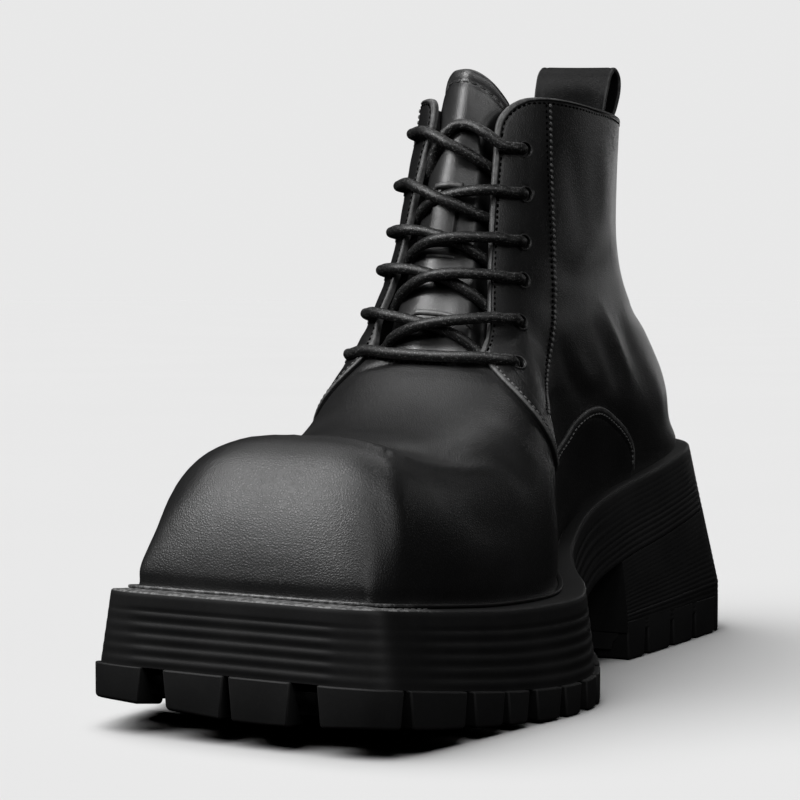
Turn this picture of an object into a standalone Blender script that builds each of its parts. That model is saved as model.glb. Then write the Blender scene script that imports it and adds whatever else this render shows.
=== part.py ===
"""Right-foot platform ankle boot: square toe, derby lacing, ribbed platform, block heel, lugged tread.

Every size below is in millimetres, and make_object turns millimetres into metres.
"Along" runs from the front of the toe (0) to the back of the heel (LENGTH), "across" is
positive towards the medial side, and heights are above the floor. The finished boot has
its toe towards -Y, its medial side towards +X and its origin under the middle of its box.
"""

import bmesh
import bpy
import numpy as np

# Driving sizes
LENGTH = 309.0            # toe to heel, at the tread
GAP = 0.3                 # clearance between pieces that meet
SEAT_GAP = 0.5            # clearance over the platform's curved top
WALL = 2.4                # leather and lining of the upper
LUG_HEIGHT = 10.0         # depth of the lugged layer
EDGE_CHAMFER = 0.8        # lower edge of the lugs
WELT_WIDTH = 4.0
WELT_CLEARANCE = 0.5      # from the upper's foot
WELT_HEIGHT = 1.1
WELT_TOE_HEIGHT = 2.3     # round the toe the welt stands higher
WELT_TOE_END = (30.0, 105.0)   # and comes down over this stretch
INSOLE_HEIGHT = 3.0
INSOLE_CLEARANCE = 1.2    # from the insole's edge to the upper's inner wall
QUARTER_STEP = 1.4        # the quarters' front edge stands this proud of the vamp
WING_RISE = 1.0           # the vamp's wings lie this proud of the quarters
TONGUE_THICKNESS = 2.6
TONGUE_DEPTH = 3.5        # from the upper's outer form in to the tongue
LOOP_WIDTH = 31.0         # pull loop
LOOP_SHIFT = -1.5         # from the shaft's middle
LOOP_STRAP = 1.8
EYELET_DIAMETER = 4.4
LACE_DIAMETER = 3.6
LACE_SIDES = 6
EYELET_SIDES = 8

# The sole, a row for each station from toe to heel: distance along, half outline on each side
# at the top edge of the platform, height of that edge, how far the side leans out from there
# down to the tread, and how far the upper stands in from the edge
SOLE_COLUMNS = ("along", "medial", "lateral", "ledge", "flare", "inset")
SOLE = (
    (2.0, -1.5, -1.5, 43.6, 2.0, 8.6),
    (2.7, 20.0, -24.0, 43.5, 2.4, 8.2),
    (3.9, 35.0, -43.5, 43.4, 3.1, 7.8),
    (8.4, 43.4, -51.2, 43.0, 5.0, 7.4),
    (20.0, 47.4, -53.2, 41.6, 5.6, 7.2),
    (45.0, 51.9, -55.0, 38.7, 5.2, 7.8),
    (72.0, 56.6, -57.0, 36.2, 4.8, 8.6),
    (95.0, 60.4, -58.8, 35.6, 5.2, 9.2),
    (112.0, 60.0, -59.2, 35.9, 5.0, 9.4),
    (130.0, 52.6, -57.4, 37.4, 4.6, 9.0),
    (147.0, 41.0, -51.8, 40.6, 4.4, 8.0),
    (162.0, 33.6, -45.4, 46.0, 4.4, 7.2),
    (178.0, 31.6, -40.0, 54.8, 4.6, 7.0),
    (200.0, 32.6, -37.2, 61.6, 5.2, 7.2),
    (238.0, 33.6, -37.0, 67.6, 5.6, 7.6),
    (266.0, 32.2, -35.6, 72.0, 7.5, 8.0),
    (279.5, 27.6, -31.0, 74.0, 12.5, 8.0),
    (288.0, 17.0, -20.5, 75.0, 16.5, 8.0),
    (291.5, -1.7, -1.7, 75.3, 17.5, 8.0),
)
PLATFORM_DEPTH = ((0.0, 22.6), (95.0, 25.6), (292.0, 25.2))    # along, thickness
TOE_SPRING = 11.0         # height of the tread at the front of the toe
FLAT_START = 95.0         # the forefoot stands on the floor from here
FLAT_END = 131.0          # to here
ARCH_SLOPE = 0.78         # rise of the tread behind that
FOREFOOT_END = 149.0      # back of the forefoot tread
HEEL_BREAST = 199.0       # front of the heel block
HEEL_LEAN = 0.74          # the heel's side leans out over this share of its height

# The ribbed side: a plain band, then ribs; a rib's profile is its share of the pitch and depth
BAND_SHARE = 0.27
PLATFORM_RIBS = 4
HEEL_RIBS = 7
RIB_PROFILE = ((0.14, -0.9), (0.42, 0.1), (0.98, 0.25))

# Slots between the lugs on the front and the back of the sole: distance across, width
FRONT_SLOTS = ((-30.5, 8.0), (-3.7, 1.8), (22.9, 9.0))
HEEL_BACK_SLOTS = ((-15.0, 1.8), (11.5, 1.8))
# Slots between the lugs on both sides: distance along, width
SIDE_SLOTS = (
    (12.0, 2.4), (41.0, 3.4), (59.0, 1.6), (73.0, 3.4), (88.0, 1.6), (101.0, 3.4),
    (113.0, 1.6), (126.0, 3.4), (140.0, 1.6),
)
HEEL_SIDE_SLOTS = ((215.0, 1.8), (237.0, 1.8), (258.0, 1.8), (280.0, 1.8))
SLOT_REACH = 14.0
SLOT_FLARE = 1.2          # how much wider each flank of a slot is at the floor

# The upper's foot, a row for each section: along, height of its crest, squareness of the
# section, and the share of its width that it loses from the sole line to the crest
FOOT = (
    (10.6, 46.4, 3.0, 0.04),
    (14.0, 57.0, 3.2, 0.06),
    (19.0, 68.0, 3.4, 0.06),
    (25.0, 77.5, 3.5, 0.05),
    (31.0, 84.8, 3.5, 0.04),
    (37.0, 88.3, 3.4, 0.04),
    (46.0, 89.2, 3.2, 0.04),
    (60.0, 87.6, 3.0, 0.04),
    (74.0, 88.6, 2.9, 0.03),
    (88.0, 92.2, 2.9, 0.02),
    (102.0, 98.4, 3.0, 0.0),
    (116.0, 108.0, 3.2, 0.0),
    (130.0, 120.0, 3.3, 0.0),
    (150.0, 134.0, 2.9, -0.02),
    (190.0, 128.0, 2.8, -0.06),
    (225.0, 106.0, 2.8, -0.08),
    (250.0, 88.0, 2.7, -0.04),
    (283.4, 79.0, 2.6, 0.0),
)

# The upper's shaft, a row for each ring: height, middle of its width, front, back, half width
# and squareness
SHAFT = (
    (60.0, -1.8, 130.0, 281.5, 27.5, 3.0),
    (78.0, -1.8, 128.0, 284.0, 29.5, 2.9),
    (92.0, -2.1, 126.0, 284.0, 32.0, 2.8),
    (102.0, -2.5, 124.5, 280.0, 33.2, 2.8),
    (112.0, -2.9, 123.5, 273.6, 33.6, 2.75),
    (123.0, -3.4, 122.0, 265.6, 33.0, 2.7),
    (135.0, -3.8, 127.0, 259.0, 31.4, 2.6),
    (150.0, -4.4, 132.0, 253.5, 30.8, 2.35),
    (175.0, -4.9, 139.8, 251.0, 30.7, 2.2),
    (200.0, -4.4, 147.5, 252.0, 31.3, 2.1),
    (230.0, -4.4, 156.0, 254.0, 32.5, 2.1),
)
BLEND = 5.0               # softness of the join between foot and shaft

# The middle line inside the foot and shaft, from which the sections fan out: along, height
SPINE = (
    (20.0, 50.0), (60.0, 54.0), (105.0, 60.0), (150.0, 78.0),
    (182.0, 106.0), (194.0, 145.0), (199.0, 235.0),
)

# The edge of the opening, from the middle of the throat round to the back: share of the way,
# along, distance out from the shaft's middle on each side, height
OPENING_COLUMNS = ("share", "along", "medial", "lateral", "height")
OPENING = (
    (0.00, 119.0, 0.0, 0.0, 107.0),
    (0.10, 120.5, 12.0, 12.0, 108.0),
    (0.17, 123.0, 19.5, 19.5, 110.5),
    (0.22, 128.5, 20.0, 19.5, 118.0),
    (0.35, 137.0, 17.8, 15.8, 145.0),
    (0.50, 149.0, 14.8, 11.0, 178.0),
    (0.57, 154.5, 13.8, 9.6, 193.0),
    (0.62, 160.5, 18.5, 14.5, 199.5),
    (0.75, 196.0, 32.0, 32.0, 198.5),
    (0.90, 238.0, 22.0, 22.0, 196.5),
    (1.00, 252.0, 0.0, 0.0, 195.5),
)
# Which part of the opening each part of the sole line runs up to: share of the line's length,
# share of the opening's
CLIMB = (
    (0.0, 0.0), (0.13, 0.03), (0.40, 0.10), (0.53, 0.17), (0.60, 0.30), (0.69, 0.48),
    (0.74, 0.60), (0.82, 0.76), (0.92, 0.90), (1.0, 1.0),
)
QUARTER_STATION = 148.0   # the column of the upper that is the quarter's front edge
QUARTER_FADE = 34.0       # its step fades out over this much of the columns behind it
REAR_BEND = (0.08, 0.08, 0.86)      # how the columns bend: across, along, height
FRONT_BEND = (0.20, 0.90, -0.46)    # and what is added near the quarter's front edge
QUARTER_FOOT = (0.30, 0.48)   # and over this share of their height, at its lower end

# The vamp's wing on each side: along, height of its upper edge
WING = (
    (150.0, 76.0), (163.5, 82.3), (171.0, 88.2), (180.5, 91.8), (190.0, 92.3),
    (203.0, 88.6), (213.0, 82.6), (219.5, 76.0), (221.5, 71.0),
)
WING_FADE = (150.0, 170.0)    # the wing's front runs into the vamp over this stretch
WING_FOOT = 2.0               # height of its lower edge over the platform's top

# Eyelets, a row for each pair from the top: height, how much higher the lateral one is, and
# distance out from the shaft's middle
EYELETS = (
    (182.5, 4.0, 22.0), (167.0, 3.5, 23.5), (150.5, 3.0, 24.5),
    (137.5, 2.5, 25.8), (123.4, 1.5, 28.2), (109.5, 1.0, 32.5),
)

# The tongue from under the vamp to its top: along, height, middle of its width, half width
TONGUE = (
    (105.0, 96.0, -3.0, 20.0), (113.0, 101.0, -3.0, 21.5), (119.0, 107.0, -3.0, 22.5),
    (126.0, 120.0, -3.0, 22.5), (134.0, 141.0, -3.0, 21.5), (142.0, 168.0, -2.6, 20.5),
    (148.0, 190.0, -1.6, 19.0), (153.0, 213.0, -0.4, 16.5),
)
TONGUE_CROWN = 0.09       # share of its length that the tongue's top corners drop

COLLAR_BACK = 195.0       # height of the collar where the pull loop crosses it
# The pull loop's strap from its inner end over the top to its outer end: distance out from
# the middle of the collar's wall, height, and how much it follows the curve of the wall
LOOP = (
    (-3.1, 180.0, 1.0), (-3.1, 196.0, 1.0), (-4.6, 203.0, 0.5), (-5.2, 211.0, 0.1),
    (-4.0, 216.6, 0.0), (0.0, 219.2, 0.0), (4.0, 216.6, 0.0), (5.2, 211.0, 0.1),
    (4.6, 203.0, 0.5), (2.75, 196.0, 1.0), (2.75, 186.0, 1.0),
)

STATIONS = 29             # along each side of the sole
HEEL_STATIONS = 14        # along each side of the heel
UPPER_STATIONS = 34       # along each side of the upper
UPPER_LEVELS = 14
LOW_CROWD = 0.35          # how much closer the upper's levels stand near the sole
CORNER_WEIGHT = 24.0      # extra points where an outline turns, in millimetres for each radian
CORNER_ROWS = 6           # softness of the upper's corners at the sole, in rows of the sole's curve


def smooth_rows(rows, count, turn_weight=0.0, measured=2):
    """A smooth curve through the rows, as count rows spaced by its length and its turning."""
    points = np.array(rows, float)
    step = np.sqrt(np.linalg.norm(np.diff(points[:, :measured], axis=0), axis=1)) + 1e-9
    knot = np.concatenate([[0.0], np.cumsum(step)])
    padded = np.vstack([2 * points[0] - points[1], points, 2 * points[-1] - points[-2]])
    knots = np.concatenate([[-step[0]], knot, [knot[-1] + step[-1]]])
    where = np.linspace(0.0, knot[-1], 800)
    index = np.clip(np.searchsorted(knot, where, side="right") - 1, 0, len(points) - 2)
    curve = catmull(padded, knots, index, where)
    return spaced(curve, count, turn_weight, measured)


def catmull(padded, knots, index, where):
    """Points of a centripetal Catmull-Rom curve, each within the span that starts at its index."""
    t0, t1, t2, t3 = (knots[index + i][:, None] for i in range(4))
    p0, p1, p2, p3 = (padded[index + i] for i in range(4))
    t = where[:, None]
    a1 = ((t1 - t) * p0 + (t - t0) * p1) / (t1 - t0)
    a2 = ((t2 - t) * p1 + (t - t1) * p2) / (t2 - t1)
    a3 = ((t3 - t) * p2 + (t - t2) * p3) / (t3 - t2)
    b1 = ((t2 - t) * a1 + (t - t0) * a2) / (t2 - t0)
    b2 = ((t3 - t) * a2 + (t - t1) * a3) / (t3 - t1)
    return ((t2 - t) * b1 + (t - t1) * b2) / (t2 - t1)


def progress(curve, turn_weight, measured=2):
    """Distance travelled along a curve, with its turning counted in."""
    step = np.diff(curve[:, :measured], axis=0)
    length = np.linalg.norm(step, axis=1)
    heading = step / np.maximum(length, 1e-9)[:, None]
    turn = np.arccos(np.clip(np.sum(heading[1:] * heading[:-1], axis=1), -1.0, 1.0))
    length[1:] += turn_weight * turn
    return np.concatenate([[0.0], np.cumsum(length)])


def spaced(curve, count, turn_weight=0.0, measured=2):
    """The curve as count rows, spaced evenly by its progress."""
    travelled = progress(curve, turn_weight, measured)
    wanted = np.linspace(0.0, travelled[-1], count)
    return np.stack([np.interp(wanted, travelled, column) for column in curve.T], axis=1)


def soft_step(value, low, high):
    """0 below low, 1 above high, and a smooth rise between."""
    share = np.clip((value - low) / (high - low), 0.0, 1.0)
    return share * share * (3.0 - 2.0 * share)


SOLE_CURVE = smooth_rows(SOLE, 500)
FOOT_CURVE = smooth_rows(FOOT, 300)
SHAFT_CURVE = smooth_rows(SHAFT, 200)
SPINE_CURVE = smooth_rows(SPINE, 120)
OPENING_CURVE = smooth_rows([row[1:] + row[:1] for row in OPENING], 400, measured=4)
LEDGE, FLARE, INSET = (SOLE_COLUMNS.index(name) for name in ("ledge", "flare", "inset"))


def ledge_height(along):
    """Height of the platform's top edge."""
    return np.interp(along, SOLE_CURVE[:, 0], SOLE_CURVE[:, LEDGE])


def tread_height(along):
    """Height of the tread: toe spring, a flat forefoot, and the start of the arch."""
    ahead = np.clip(1.0 - along / FLAT_START, 0.0, 1.0)
    return TOE_SPRING * ahead ** 1.6 + ARCH_SLOPE * np.maximum(along - FLAT_END, 0.0)


def underside(along):
    """Height of the underside of the platform layer."""
    table = np.array(PLATFORM_DEPTH)
    return ledge_height(along) - np.interp(along, table[:, 0], table[:, 1])


def moved_line(line, side, outset):
    """A line down one side of the boot, moved outwards: rows of along, across."""
    run = np.gradient(line, axis=0)
    run /= np.linalg.norm(run, axis=1)[:, None]
    sign = 1.0 if side == "medial" else -1.0
    normal = np.stack([-run[:, 1], run[:, 0]], axis=1) * sign
    normal[0] = (-1.0, 0.0)
    normal[-1] = (1.0, 0.0)
    return line + normal * np.reshape(outset, (-1, 1))


def outline(side, outset):
    """The platform's top edge on one side, moved outwards."""
    return moved_line(SOLE_CURVE[:, [0, SOLE_COLUMNS.index(side)]], side, outset)


def inset_lines(extra):
    """A line inside the platform's edge on each side, with its corners rounded.

    Without extra it is the line where the upper meets the platform.
    """
    rows = np.arange(len(SOLE_CURVE))
    inset = SOLE_CURVE[:, INSET] + extra
    lines = []
    for side in ("medial", "lateral"):
        edge = outline(side, 0.0)
        moved = outline(side, -inset)
        apart = np.linalg.norm(moved[:, None, :] - edge[None, ::4, :], axis=2).min(axis=1)
        clear = np.where(apart > inset - 0.25)[0]
        lines.append(np.stack([np.interp(rows, clear, moved[clear, i]) for i in (0, 1)], axis=1))
    medial, lateral = lines
    loop = np.concatenate([medial, lateral[::-1][1:-1]])
    reach = 3 * CORNER_ROWS
    weight = np.exp(-0.5 * (np.arange(-reach, reach + 1) / CORNER_ROWS) ** 2)
    weight /= weight.sum()
    wrapped = np.concatenate([loop[-reach:], loop, loop[:reach]])
    soft = np.stack([np.convolve(wrapped[:, i], weight, mode="valid") for i in (0, 1)], axis=1)
    count = len(medial)
    back = np.concatenate([soft[:1], soft[count:][::-1], soft[count - 1:count]])
    return {"medial": soft[:count], "lateral": back}


def side_rows(medial, lateral, start, end, count):
    """Matching points on both sides at shared stations: station, medial and lateral places."""
    keep = (SOLE_CURVE[:, 0] >= start) & (SOLE_CURVE[:, 0] <= end)
    width = 0.5 * (SOLE_CURVE[:, 1] - SOLE_CURVE[:, 2])
    rows = np.column_stack([SOLE_CURVE[:, 0], width, SOLE_CURVE[:, LEDGE], medial, lateral])[keep]
    picked = spaced(rows, count, CORNER_WEIGHT, measured=3)
    return picked[:, 0], picked[:, 3:5], picked[:, 5:7]


def across_middle():
    """Middle of the boot's width at the tread, which is where the origin goes."""
    flare = SOLE_CURVE[:, FLARE]
    return 0.5 * (outline("medial", flare)[:, 1].max() + outline("lateral", flare)[:, 1].min())


MID_ACROSS = across_middle()
SOLE_LINE = inset_lines(0.0)
LINE_SHARE = progress(SOLE_LINE["medial"], 0.0) / progress(SOLE_LINE["medial"], 0.0)[-1]
QUARTER_ROW = float(np.interp(QUARTER_STATION, SOLE_CURVE[:, 0], np.arange(len(SOLE_CURVE))))


def place(along, across, height):
    """Boot coordinates to the finished frame, in millimetres."""
    along, across, height = np.broadcast_arrays(along, across, height)
    return np.stack([across - MID_ACROSS, along - LENGTH / 2, height], axis=-1)


def place_points(points):
    """The same for rows of across, along, height."""
    return place(points[..., 1], points[..., 0], points[..., 2])


def material(name, colour, roughness):
    """A plain finish for one piece."""
    made = bpy.data.materials.new(name)
    made.use_nodes = True
    shader = made.node_tree.nodes["Principled BSDF"]
    shader.inputs["Base Color"].default_value = (*colour, 1.0)
    shader.inputs["Roughness"].default_value = roughness
    shader.inputs["Metallic"].default_value = 0.0
    return made


def make_object(name, points, faces, finish=None):
    """A named mesh object from points in millimetres, with its faces turned outwards."""
    mesh = bpy.data.meshes.new(name)
    mesh.from_pydata([tuple(p) for p in np.asarray(points, float) * 0.001], [], faces)
    work = bmesh.new()
    work.from_mesh(mesh)
    bmesh.ops.recalc_face_normals(work, faces=work.faces)
    work.to_mesh(mesh)
    work.free()
    made = bpy.data.objects.new(name, mesh)
    bpy.context.scene.collection.objects.link(made)
    if finish:
        mesh.materials.append(finish)
        mesh.shade_smooth()
        mesh.set_sharp_from_angle(angle=np.radians(32))
    return made


def combine(target, tools, operation="DIFFERENCE"):
    """Cuts or joins a piece with helper objects, which are hidden from the build."""
    for tool in tools:
        modifier = target.modifiers.new(tool.name, "BOOLEAN")
        modifier.operation = operation
        modifier.solver = "EXACT"
        modifier.object = tool
        tool.hide_render = True
        tool.display_type = "WIRE"


def layer_solid(name, levels, finish):
    """A closed solid from levels, each a pair of matching rows of points down both sides.

    The two rows of a level meet at the toe or heel where their ends coincide, and a straight
    face closes a level whose rows start or end apart.
    """
    points = []
    rings = []
    for medial, lateral in levels:
        first = len(points)
        points.extend(medial)
        left = list(range(len(points), len(points) + len(lateral)))
        points.extend(lateral)
        right = list(range(first, first + len(medial)))
        if np.linalg.norm(medial[0] - lateral[0]) < 1e-6:
            left[0] = right[0]
        if np.linalg.norm(medial[-1] - lateral[-1]) < 1e-6:
            left[-1] = right[-1]
        rings.append((right, left))
    loops = [list(dict.fromkeys(right + left[::-1])) for right, left in rings]
    faces = []
    for upper, lower in zip(loops, loops[1:]):
        for a, b, c, d in zip(upper, upper[1:] + upper[:1], lower[1:] + lower[:1], lower):
            faces.append((a, b, c, d))
    for right, left in (rings[0], rings[-1]):
        for i in range(len(right) - 1):
            corners = (right[i], right[i + 1], left[i + 1], left[i])
            faces.append(tuple(dict.fromkeys(corners)))
    used = sorted({corner for face in faces for corner in face})
    renumber = {old: new for new, old in enumerate(used)}
    faces = [tuple(renumber[corner] for corner in face) for face in faces]
    return make_object(name, [points[i] for i in used], faces, finish)


def side_level(limits, count, height, extra=0.0):
    """A level of the sole's side, where height gives the level's height at each station."""
    station = SOLE_CURVE[:, 0]
    ledge = SOLE_CURVE[:, LEDGE]
    heel = soft_step(station, FOREFOOT_END, HEEL_BREAST)
    tread = tread_height(np.minimum(station, FLAT_END))
    drop = (ledge - height(station)) / (ledge - tread)
    lean = np.minimum(drop / (1.0 + heel * (HEEL_LEAN - 1.0)), 1.0)
    outset = SOLE_CURVE[:, FLARE] * lean + extra
    picked, medial, lateral = side_rows(
        outline("medial", outset), outline("lateral", outset), *limits, count
    )
    level = height(picked)
    return place(medial[:, 0], medial[:, 1], level), place(lateral[:, 0], lateral[:, 1], level)


def resting_level(lines, lift, rows):
    """A level that follows the platform's top, over rows of the lines down both sides."""
    index = np.arange(len(SOLE_CURVE))
    level = []
    for side in ("medial", "lateral"):
        along, across = (np.interp(rows, index, lines[side][:, i]) for i in (0, 1))
        level.append(place(along, across, ledge_height(along) + lift))
    return level


def ribbed_levels(top, bottom, count, ribs, band, limits):
    """Levels down a ribbed side: a plain band, then ribs with a groove above each."""
    pitch = (1.0 - band) / ribs
    rows = [(0.0, -0.5), (0.6 / 25.0, 0.0), (band, 0.0)]
    for rib in range(ribs):
        rows += [(band + (rib + share) * pitch, depth) for share, depth in RIB_PROFILE]
    rows[-1] = (1.0, RIB_PROFILE[-1][1])
    levels = []
    for share, depth in rows:
        def height(station, share=share):
            return top(station) + (bottom(station) - top(station)) * share
        levels.append(side_level(limits, count, height, depth))
    return levels


def flat_level(height):
    """A level height that is the same at every station."""
    return lambda station: np.full_like(np.asarray(station, float), height)


def build_midsole(finish):
    """The platform layer under the whole foot, ribbed along its lower edge."""
    limits = (0.0, LENGTH)
    levels = ribbed_levels(ledge_height, underside, STATIONS, PLATFORM_RIBS, BAND_SHARE, limits)
    return layer_solid("midsole", levels, finish)


def build_heel_block(finish):
    """The heel block under the back of the platform layer."""
    limits = (HEEL_BREAST, LENGTH)
    bottom = flat_level(LUG_HEIGHT + GAP)
    levels = ribbed_levels(
        lambda station: underside(station) - GAP, bottom, HEEL_STATIONS, HEEL_RIBS, 0.05, limits
    )
    return layer_solid("heel_block", levels, finish)


def slot_cutter(name, middle, inwards, width):
    """A wedge that cuts a slot in from the edge of a lugged layer, wider at the floor."""
    across, along = middle
    inwards = np.array(inwards) / np.linalg.norm(inwards)
    sideways = np.array([-inwards[1], inwards[0]])
    points = []
    for height, half in ((-3.0, 0.5 * width + SLOT_FLARE), (26.0, 0.5 * width - 0.5)):
        for reach, share in ((-9.0, 1.2), (SLOT_REACH, 0.8)):
            for sign in (-1.0, 1.0):
                x, y = np.array([across, along]) + inwards * reach + sideways * sign * half * share
                points.append(place(y, x, height))
    faces = [(0, 1, 3, 2), (4, 6, 7, 5), (0, 4, 5, 1), (2, 3, 7, 6), (0, 2, 6, 4), (1, 5, 7, 3)]
    return make_object(name, points, faces)


def side_cutters(name, slots):
    """Slots on both sides of the sole, square to its edge."""
    made = []
    for side in ("medial", "lateral"):
        edge = outline(side, SOLE_CURVE[:, FLARE])
        sign = 1.0 if side == "medial" else -1.0
        for number, (along, width) in enumerate(slots):
            index = int(np.argmin(np.abs(edge[:, 0] - along)))
            run = edge[index + 4] - edge[index - 4]
            inwards = (-sign * run[0], sign * run[1])
            made.append(slot_cutter(f"{name}_{side}_{number}", edge[index, ::-1], inwards, width))
    return made


def end_cutters(name, slots, along, inwards):
    """Slots across the front or the back of the sole."""
    return [
        slot_cutter(f"{name}_{number}", (across, along), (0.0, inwards), width)
        for number, (across, width) in enumerate(slots)
    ]


def build_forefoot_tread(finish):
    """The lugged layer under the forefoot."""
    limits = (0.0, FOREFOOT_END)
    levels = [
        side_level(limits, STATIONS - 4,
                   lambda s: np.minimum(underside(s), tread_height(s) + LUG_HEIGHT) - GAP),
        side_level(limits, STATIONS - 4, lambda s: tread_height(s) + EDGE_CHAMFER),
        side_level(limits, STATIONS - 4, tread_height, -EDGE_CHAMFER),
    ]
    made = layer_solid("forefoot_tread", levels, finish)
    combine(made, end_cutters("toe_slot", FRONT_SLOTS, 0.0, 1.0))
    combine(made, side_cutters("side_slot", SIDE_SLOTS))
    return made


def build_heel_tread(finish):
    """The lugged layer under the heel."""
    limits = (HEEL_BREAST, LENGTH)
    levels = [
        side_level(limits, HEEL_STATIONS, flat_level(LUG_HEIGHT)),
        side_level(limits, HEEL_STATIONS, flat_level(EDGE_CHAMFER)),
        side_level(limits, HEEL_STATIONS, flat_level(0.0), -EDGE_CHAMFER),
    ]
    made = layer_solid("heel_tread", levels, finish)
    combine(made, end_cutters("heel_back_slot", HEEL_BACK_SLOTS, LENGTH, -1.0))
    combine(made, side_cutters("heel_side_slot", HEEL_SIDE_SLOTS))
    return made


def foot_field(across, along, height):
    """How far a point lies outside the foot of the upper: negative inside."""
    medial, lateral = (
        np.interp(along, SOLE_LINE[side][:, 0], SOLE_LINE[side][:, 1])
        for side in ("medial", "lateral")
    )
    crest, square, lean = (np.interp(along, FOOT_CURVE[:, 0], FOOT_CURVE[:, i]) for i in (1, 2, 3))
    base = ledge_height(along) + SEAT_GAP
    tall = np.maximum(crest - base, 0.5)
    rise = np.maximum((height - base) / tall, 0.0)
    half = np.maximum(0.5 * (medial - lateral), 0.5) * (1.0 - lean * np.minimum(rise, 1.0))
    shift = np.abs(across - 0.5 * (medial + lateral)) / half
    inside = ((shift ** square + rise ** square) ** (1.0 / square) - 1.0) * np.sqrt(half * tall)
    ends = SOLE_LINE["medial"][[0, -1], 0]
    beyond = np.maximum(ends[0] - along, along - ends[1])
    return np.where(beyond > 0.0, np.maximum(inside, beyond), inside)


def shaft_field(across, along, height):
    """How far a point lies outside the shaft: negative inside."""
    middle, front, back, half, square = (
        np.interp(height, SHAFT_CURVE[:, 0], SHAFT_CURVE[:, i]) for i in range(1, 6)
    )
    width = np.abs((across - middle) / half) ** square
    depth = np.abs((2.0 * along - front - back) / (back - front)) ** square
    return ((width + depth) ** (1.0 / square) - 1.0) * half


def field(across, along, height):
    """The upper's outer form: foot and shaft run together with a soft join."""
    foot = foot_field(across, along, height)
    shaft = shaft_field(across, along, height)
    return np.minimum(foot, shaft) - BLEND * 0.5 * np.exp(-np.abs(foot - shaft) / BLEND)


def shaft_middle(height):
    """Middle of the shaft's width at a height."""
    return np.interp(height, SHAFT_CURVE[:, 0], SHAFT_CURVE[:, 1])


def between(start, heading):
    """Where rays that start inside the outer form leave it, by halving."""
    near = np.zeros(len(start))
    far = np.ones(len(start))
    for _ in range(36):
        probe = 0.5 * (near + far)
        outside = field(*(start + heading * probe[:, None]).T) > 0.0
        far = np.where(outside, probe, far)
        near = np.where(outside, near, probe)
    return start + heading * (0.5 * (near + far))[:, None]


def onto_surface(points):
    """Moves rough points (across, along, height) onto the outer form, away from the middle line."""
    across, along, height = points.T
    gap = (SPINE_CURVE[None, :, 0] - along[:, None]) ** 2
    gap = gap + (SPINE_CURVE[None, :, 1] - height[:, None]) ** 2
    weight = np.exp(-(gap - gap.min(axis=1)[:, None]) / 60.0)
    weight /= weight.sum(axis=1)[:, None]
    spine = weight @ SPINE_CURVE
    start = np.stack([shaft_middle(spine[:, 1]), spine[:, 0], spine[:, 1]], axis=1)
    return between(start, 3.0 * (points - start))


def outward(points):
    """Unit normals of the outer form at rows of across, along, height."""
    probe = 0.4
    slopes = [
        field(*(points + probe * step).T) - field(*(points - probe * step).T) for step in np.eye(3)
    ]
    normal = np.stack(slopes, axis=1)
    return normal / np.linalg.norm(normal, axis=1)[:, None]


def opening_point(side, share):
    """A rough point on the edge of the throat and collar: across, along, height."""
    curve = OPENING_CURVE
    out = curve[:, OPENING_COLUMNS.index(side) - 1]
    along, height = (np.interp(share, curve[:, 4], curve[:, i]) for i in (0, 3))
    sign = 1.0 if side == "medial" else -1.0
    return np.stack([shaft_middle(height) + sign * np.interp(share, curve[:, 4], out),
                     along, height], axis=-1)


def upper_columns(side, rows, shares):
    """Points of the outer form over rows of the sole line, at shares of the way up."""
    line = SOLE_LINE[side]
    index = np.arange(len(line))
    along, across = (np.interp(rows, index, line[:, i]) for i in (0, 1))
    low = np.stack([across, along, ledge_height(along) + SEAT_GAP], axis=1)
    climb = np.array(CLIMB)
    high = opening_point(side, np.interp(np.interp(rows, index, LINE_SHARE), *climb.T))
    early = np.exp(-((along - QUARTER_STATION) / QUARTER_FADE) ** 2)
    lift = low + (high - low) * (np.array(REAR_BEND) + np.outer(early, FRONT_BEND))
    share = np.broadcast_to(shares, (len(rows), np.shape(shares)[-1]))[..., None]
    rough = ((1 - share) ** 2 * low[:, None] + 2 * share * (1 - share) * lift[:, None]
             + share ** 2 * high[:, None])
    surface = onto_surface(rough.reshape(-1, 3)).reshape(rough.shape)
    return np.where(share == 0.0, rough, surface)


def upper_rows(count):
    """Rows of the sole line for the upper's columns, with a close pair at the quarter's edge."""
    edge = opening_point("medial", np.interp(LINE_SHARE, *np.array(CLIMB).T))
    line = np.column_stack(
        [SOLE_LINE["medial"], SOLE_CURVE[:, LEDGE], edge, np.arange(len(SOLE_CURVE))]
    )
    rows = spaced(line, count, CORNER_WEIGHT, measured=6)[:, 6]
    rows = rows[np.abs(rows - QUARTER_ROW) > 5.0]
    return np.sort(np.concatenate([rows, [QUARTER_ROW - 0.5, QUARTER_ROW + 0.5]]))


def quarter_rise(rows, shares):
    """How far the quarter stands proud of the vamp, for each column and level."""
    stations = np.interp(rows, np.arange(len(SOLE_CURVE)), SOLE_CURVE[:, 0])
    fade = 1.0 - soft_step(stations, QUARTER_STATION, QUARTER_STATION + QUARTER_FADE)
    rise = (rows > QUARTER_ROW) * fade
    return QUARTER_STEP * rise[:, None] * soft_step(shares, *QUARTER_FOOT)[None, :]


def band_faces(columns, levels):
    """Faces of a wall's outer and inner grids, whose columns run round a closed band."""
    shift = columns * levels
    faces = []
    for i in range(columns):
        j = (i + 1) % columns
        for k in range(levels - 1):
            a, b, c, d = i * levels + k, j * levels + k, j * levels + k + 1, i * levels + k + 1
            faces.append((a, b, c, d))
            faces.append((a + shift, d + shift, c + shift, b + shift))
        for a, b in ((i * levels, j * levels), ((i + 1) * levels - 1, (j + 1) * levels - 1)):
            faces.append((a, a + shift, b + shift, b))
    return faces


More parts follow.
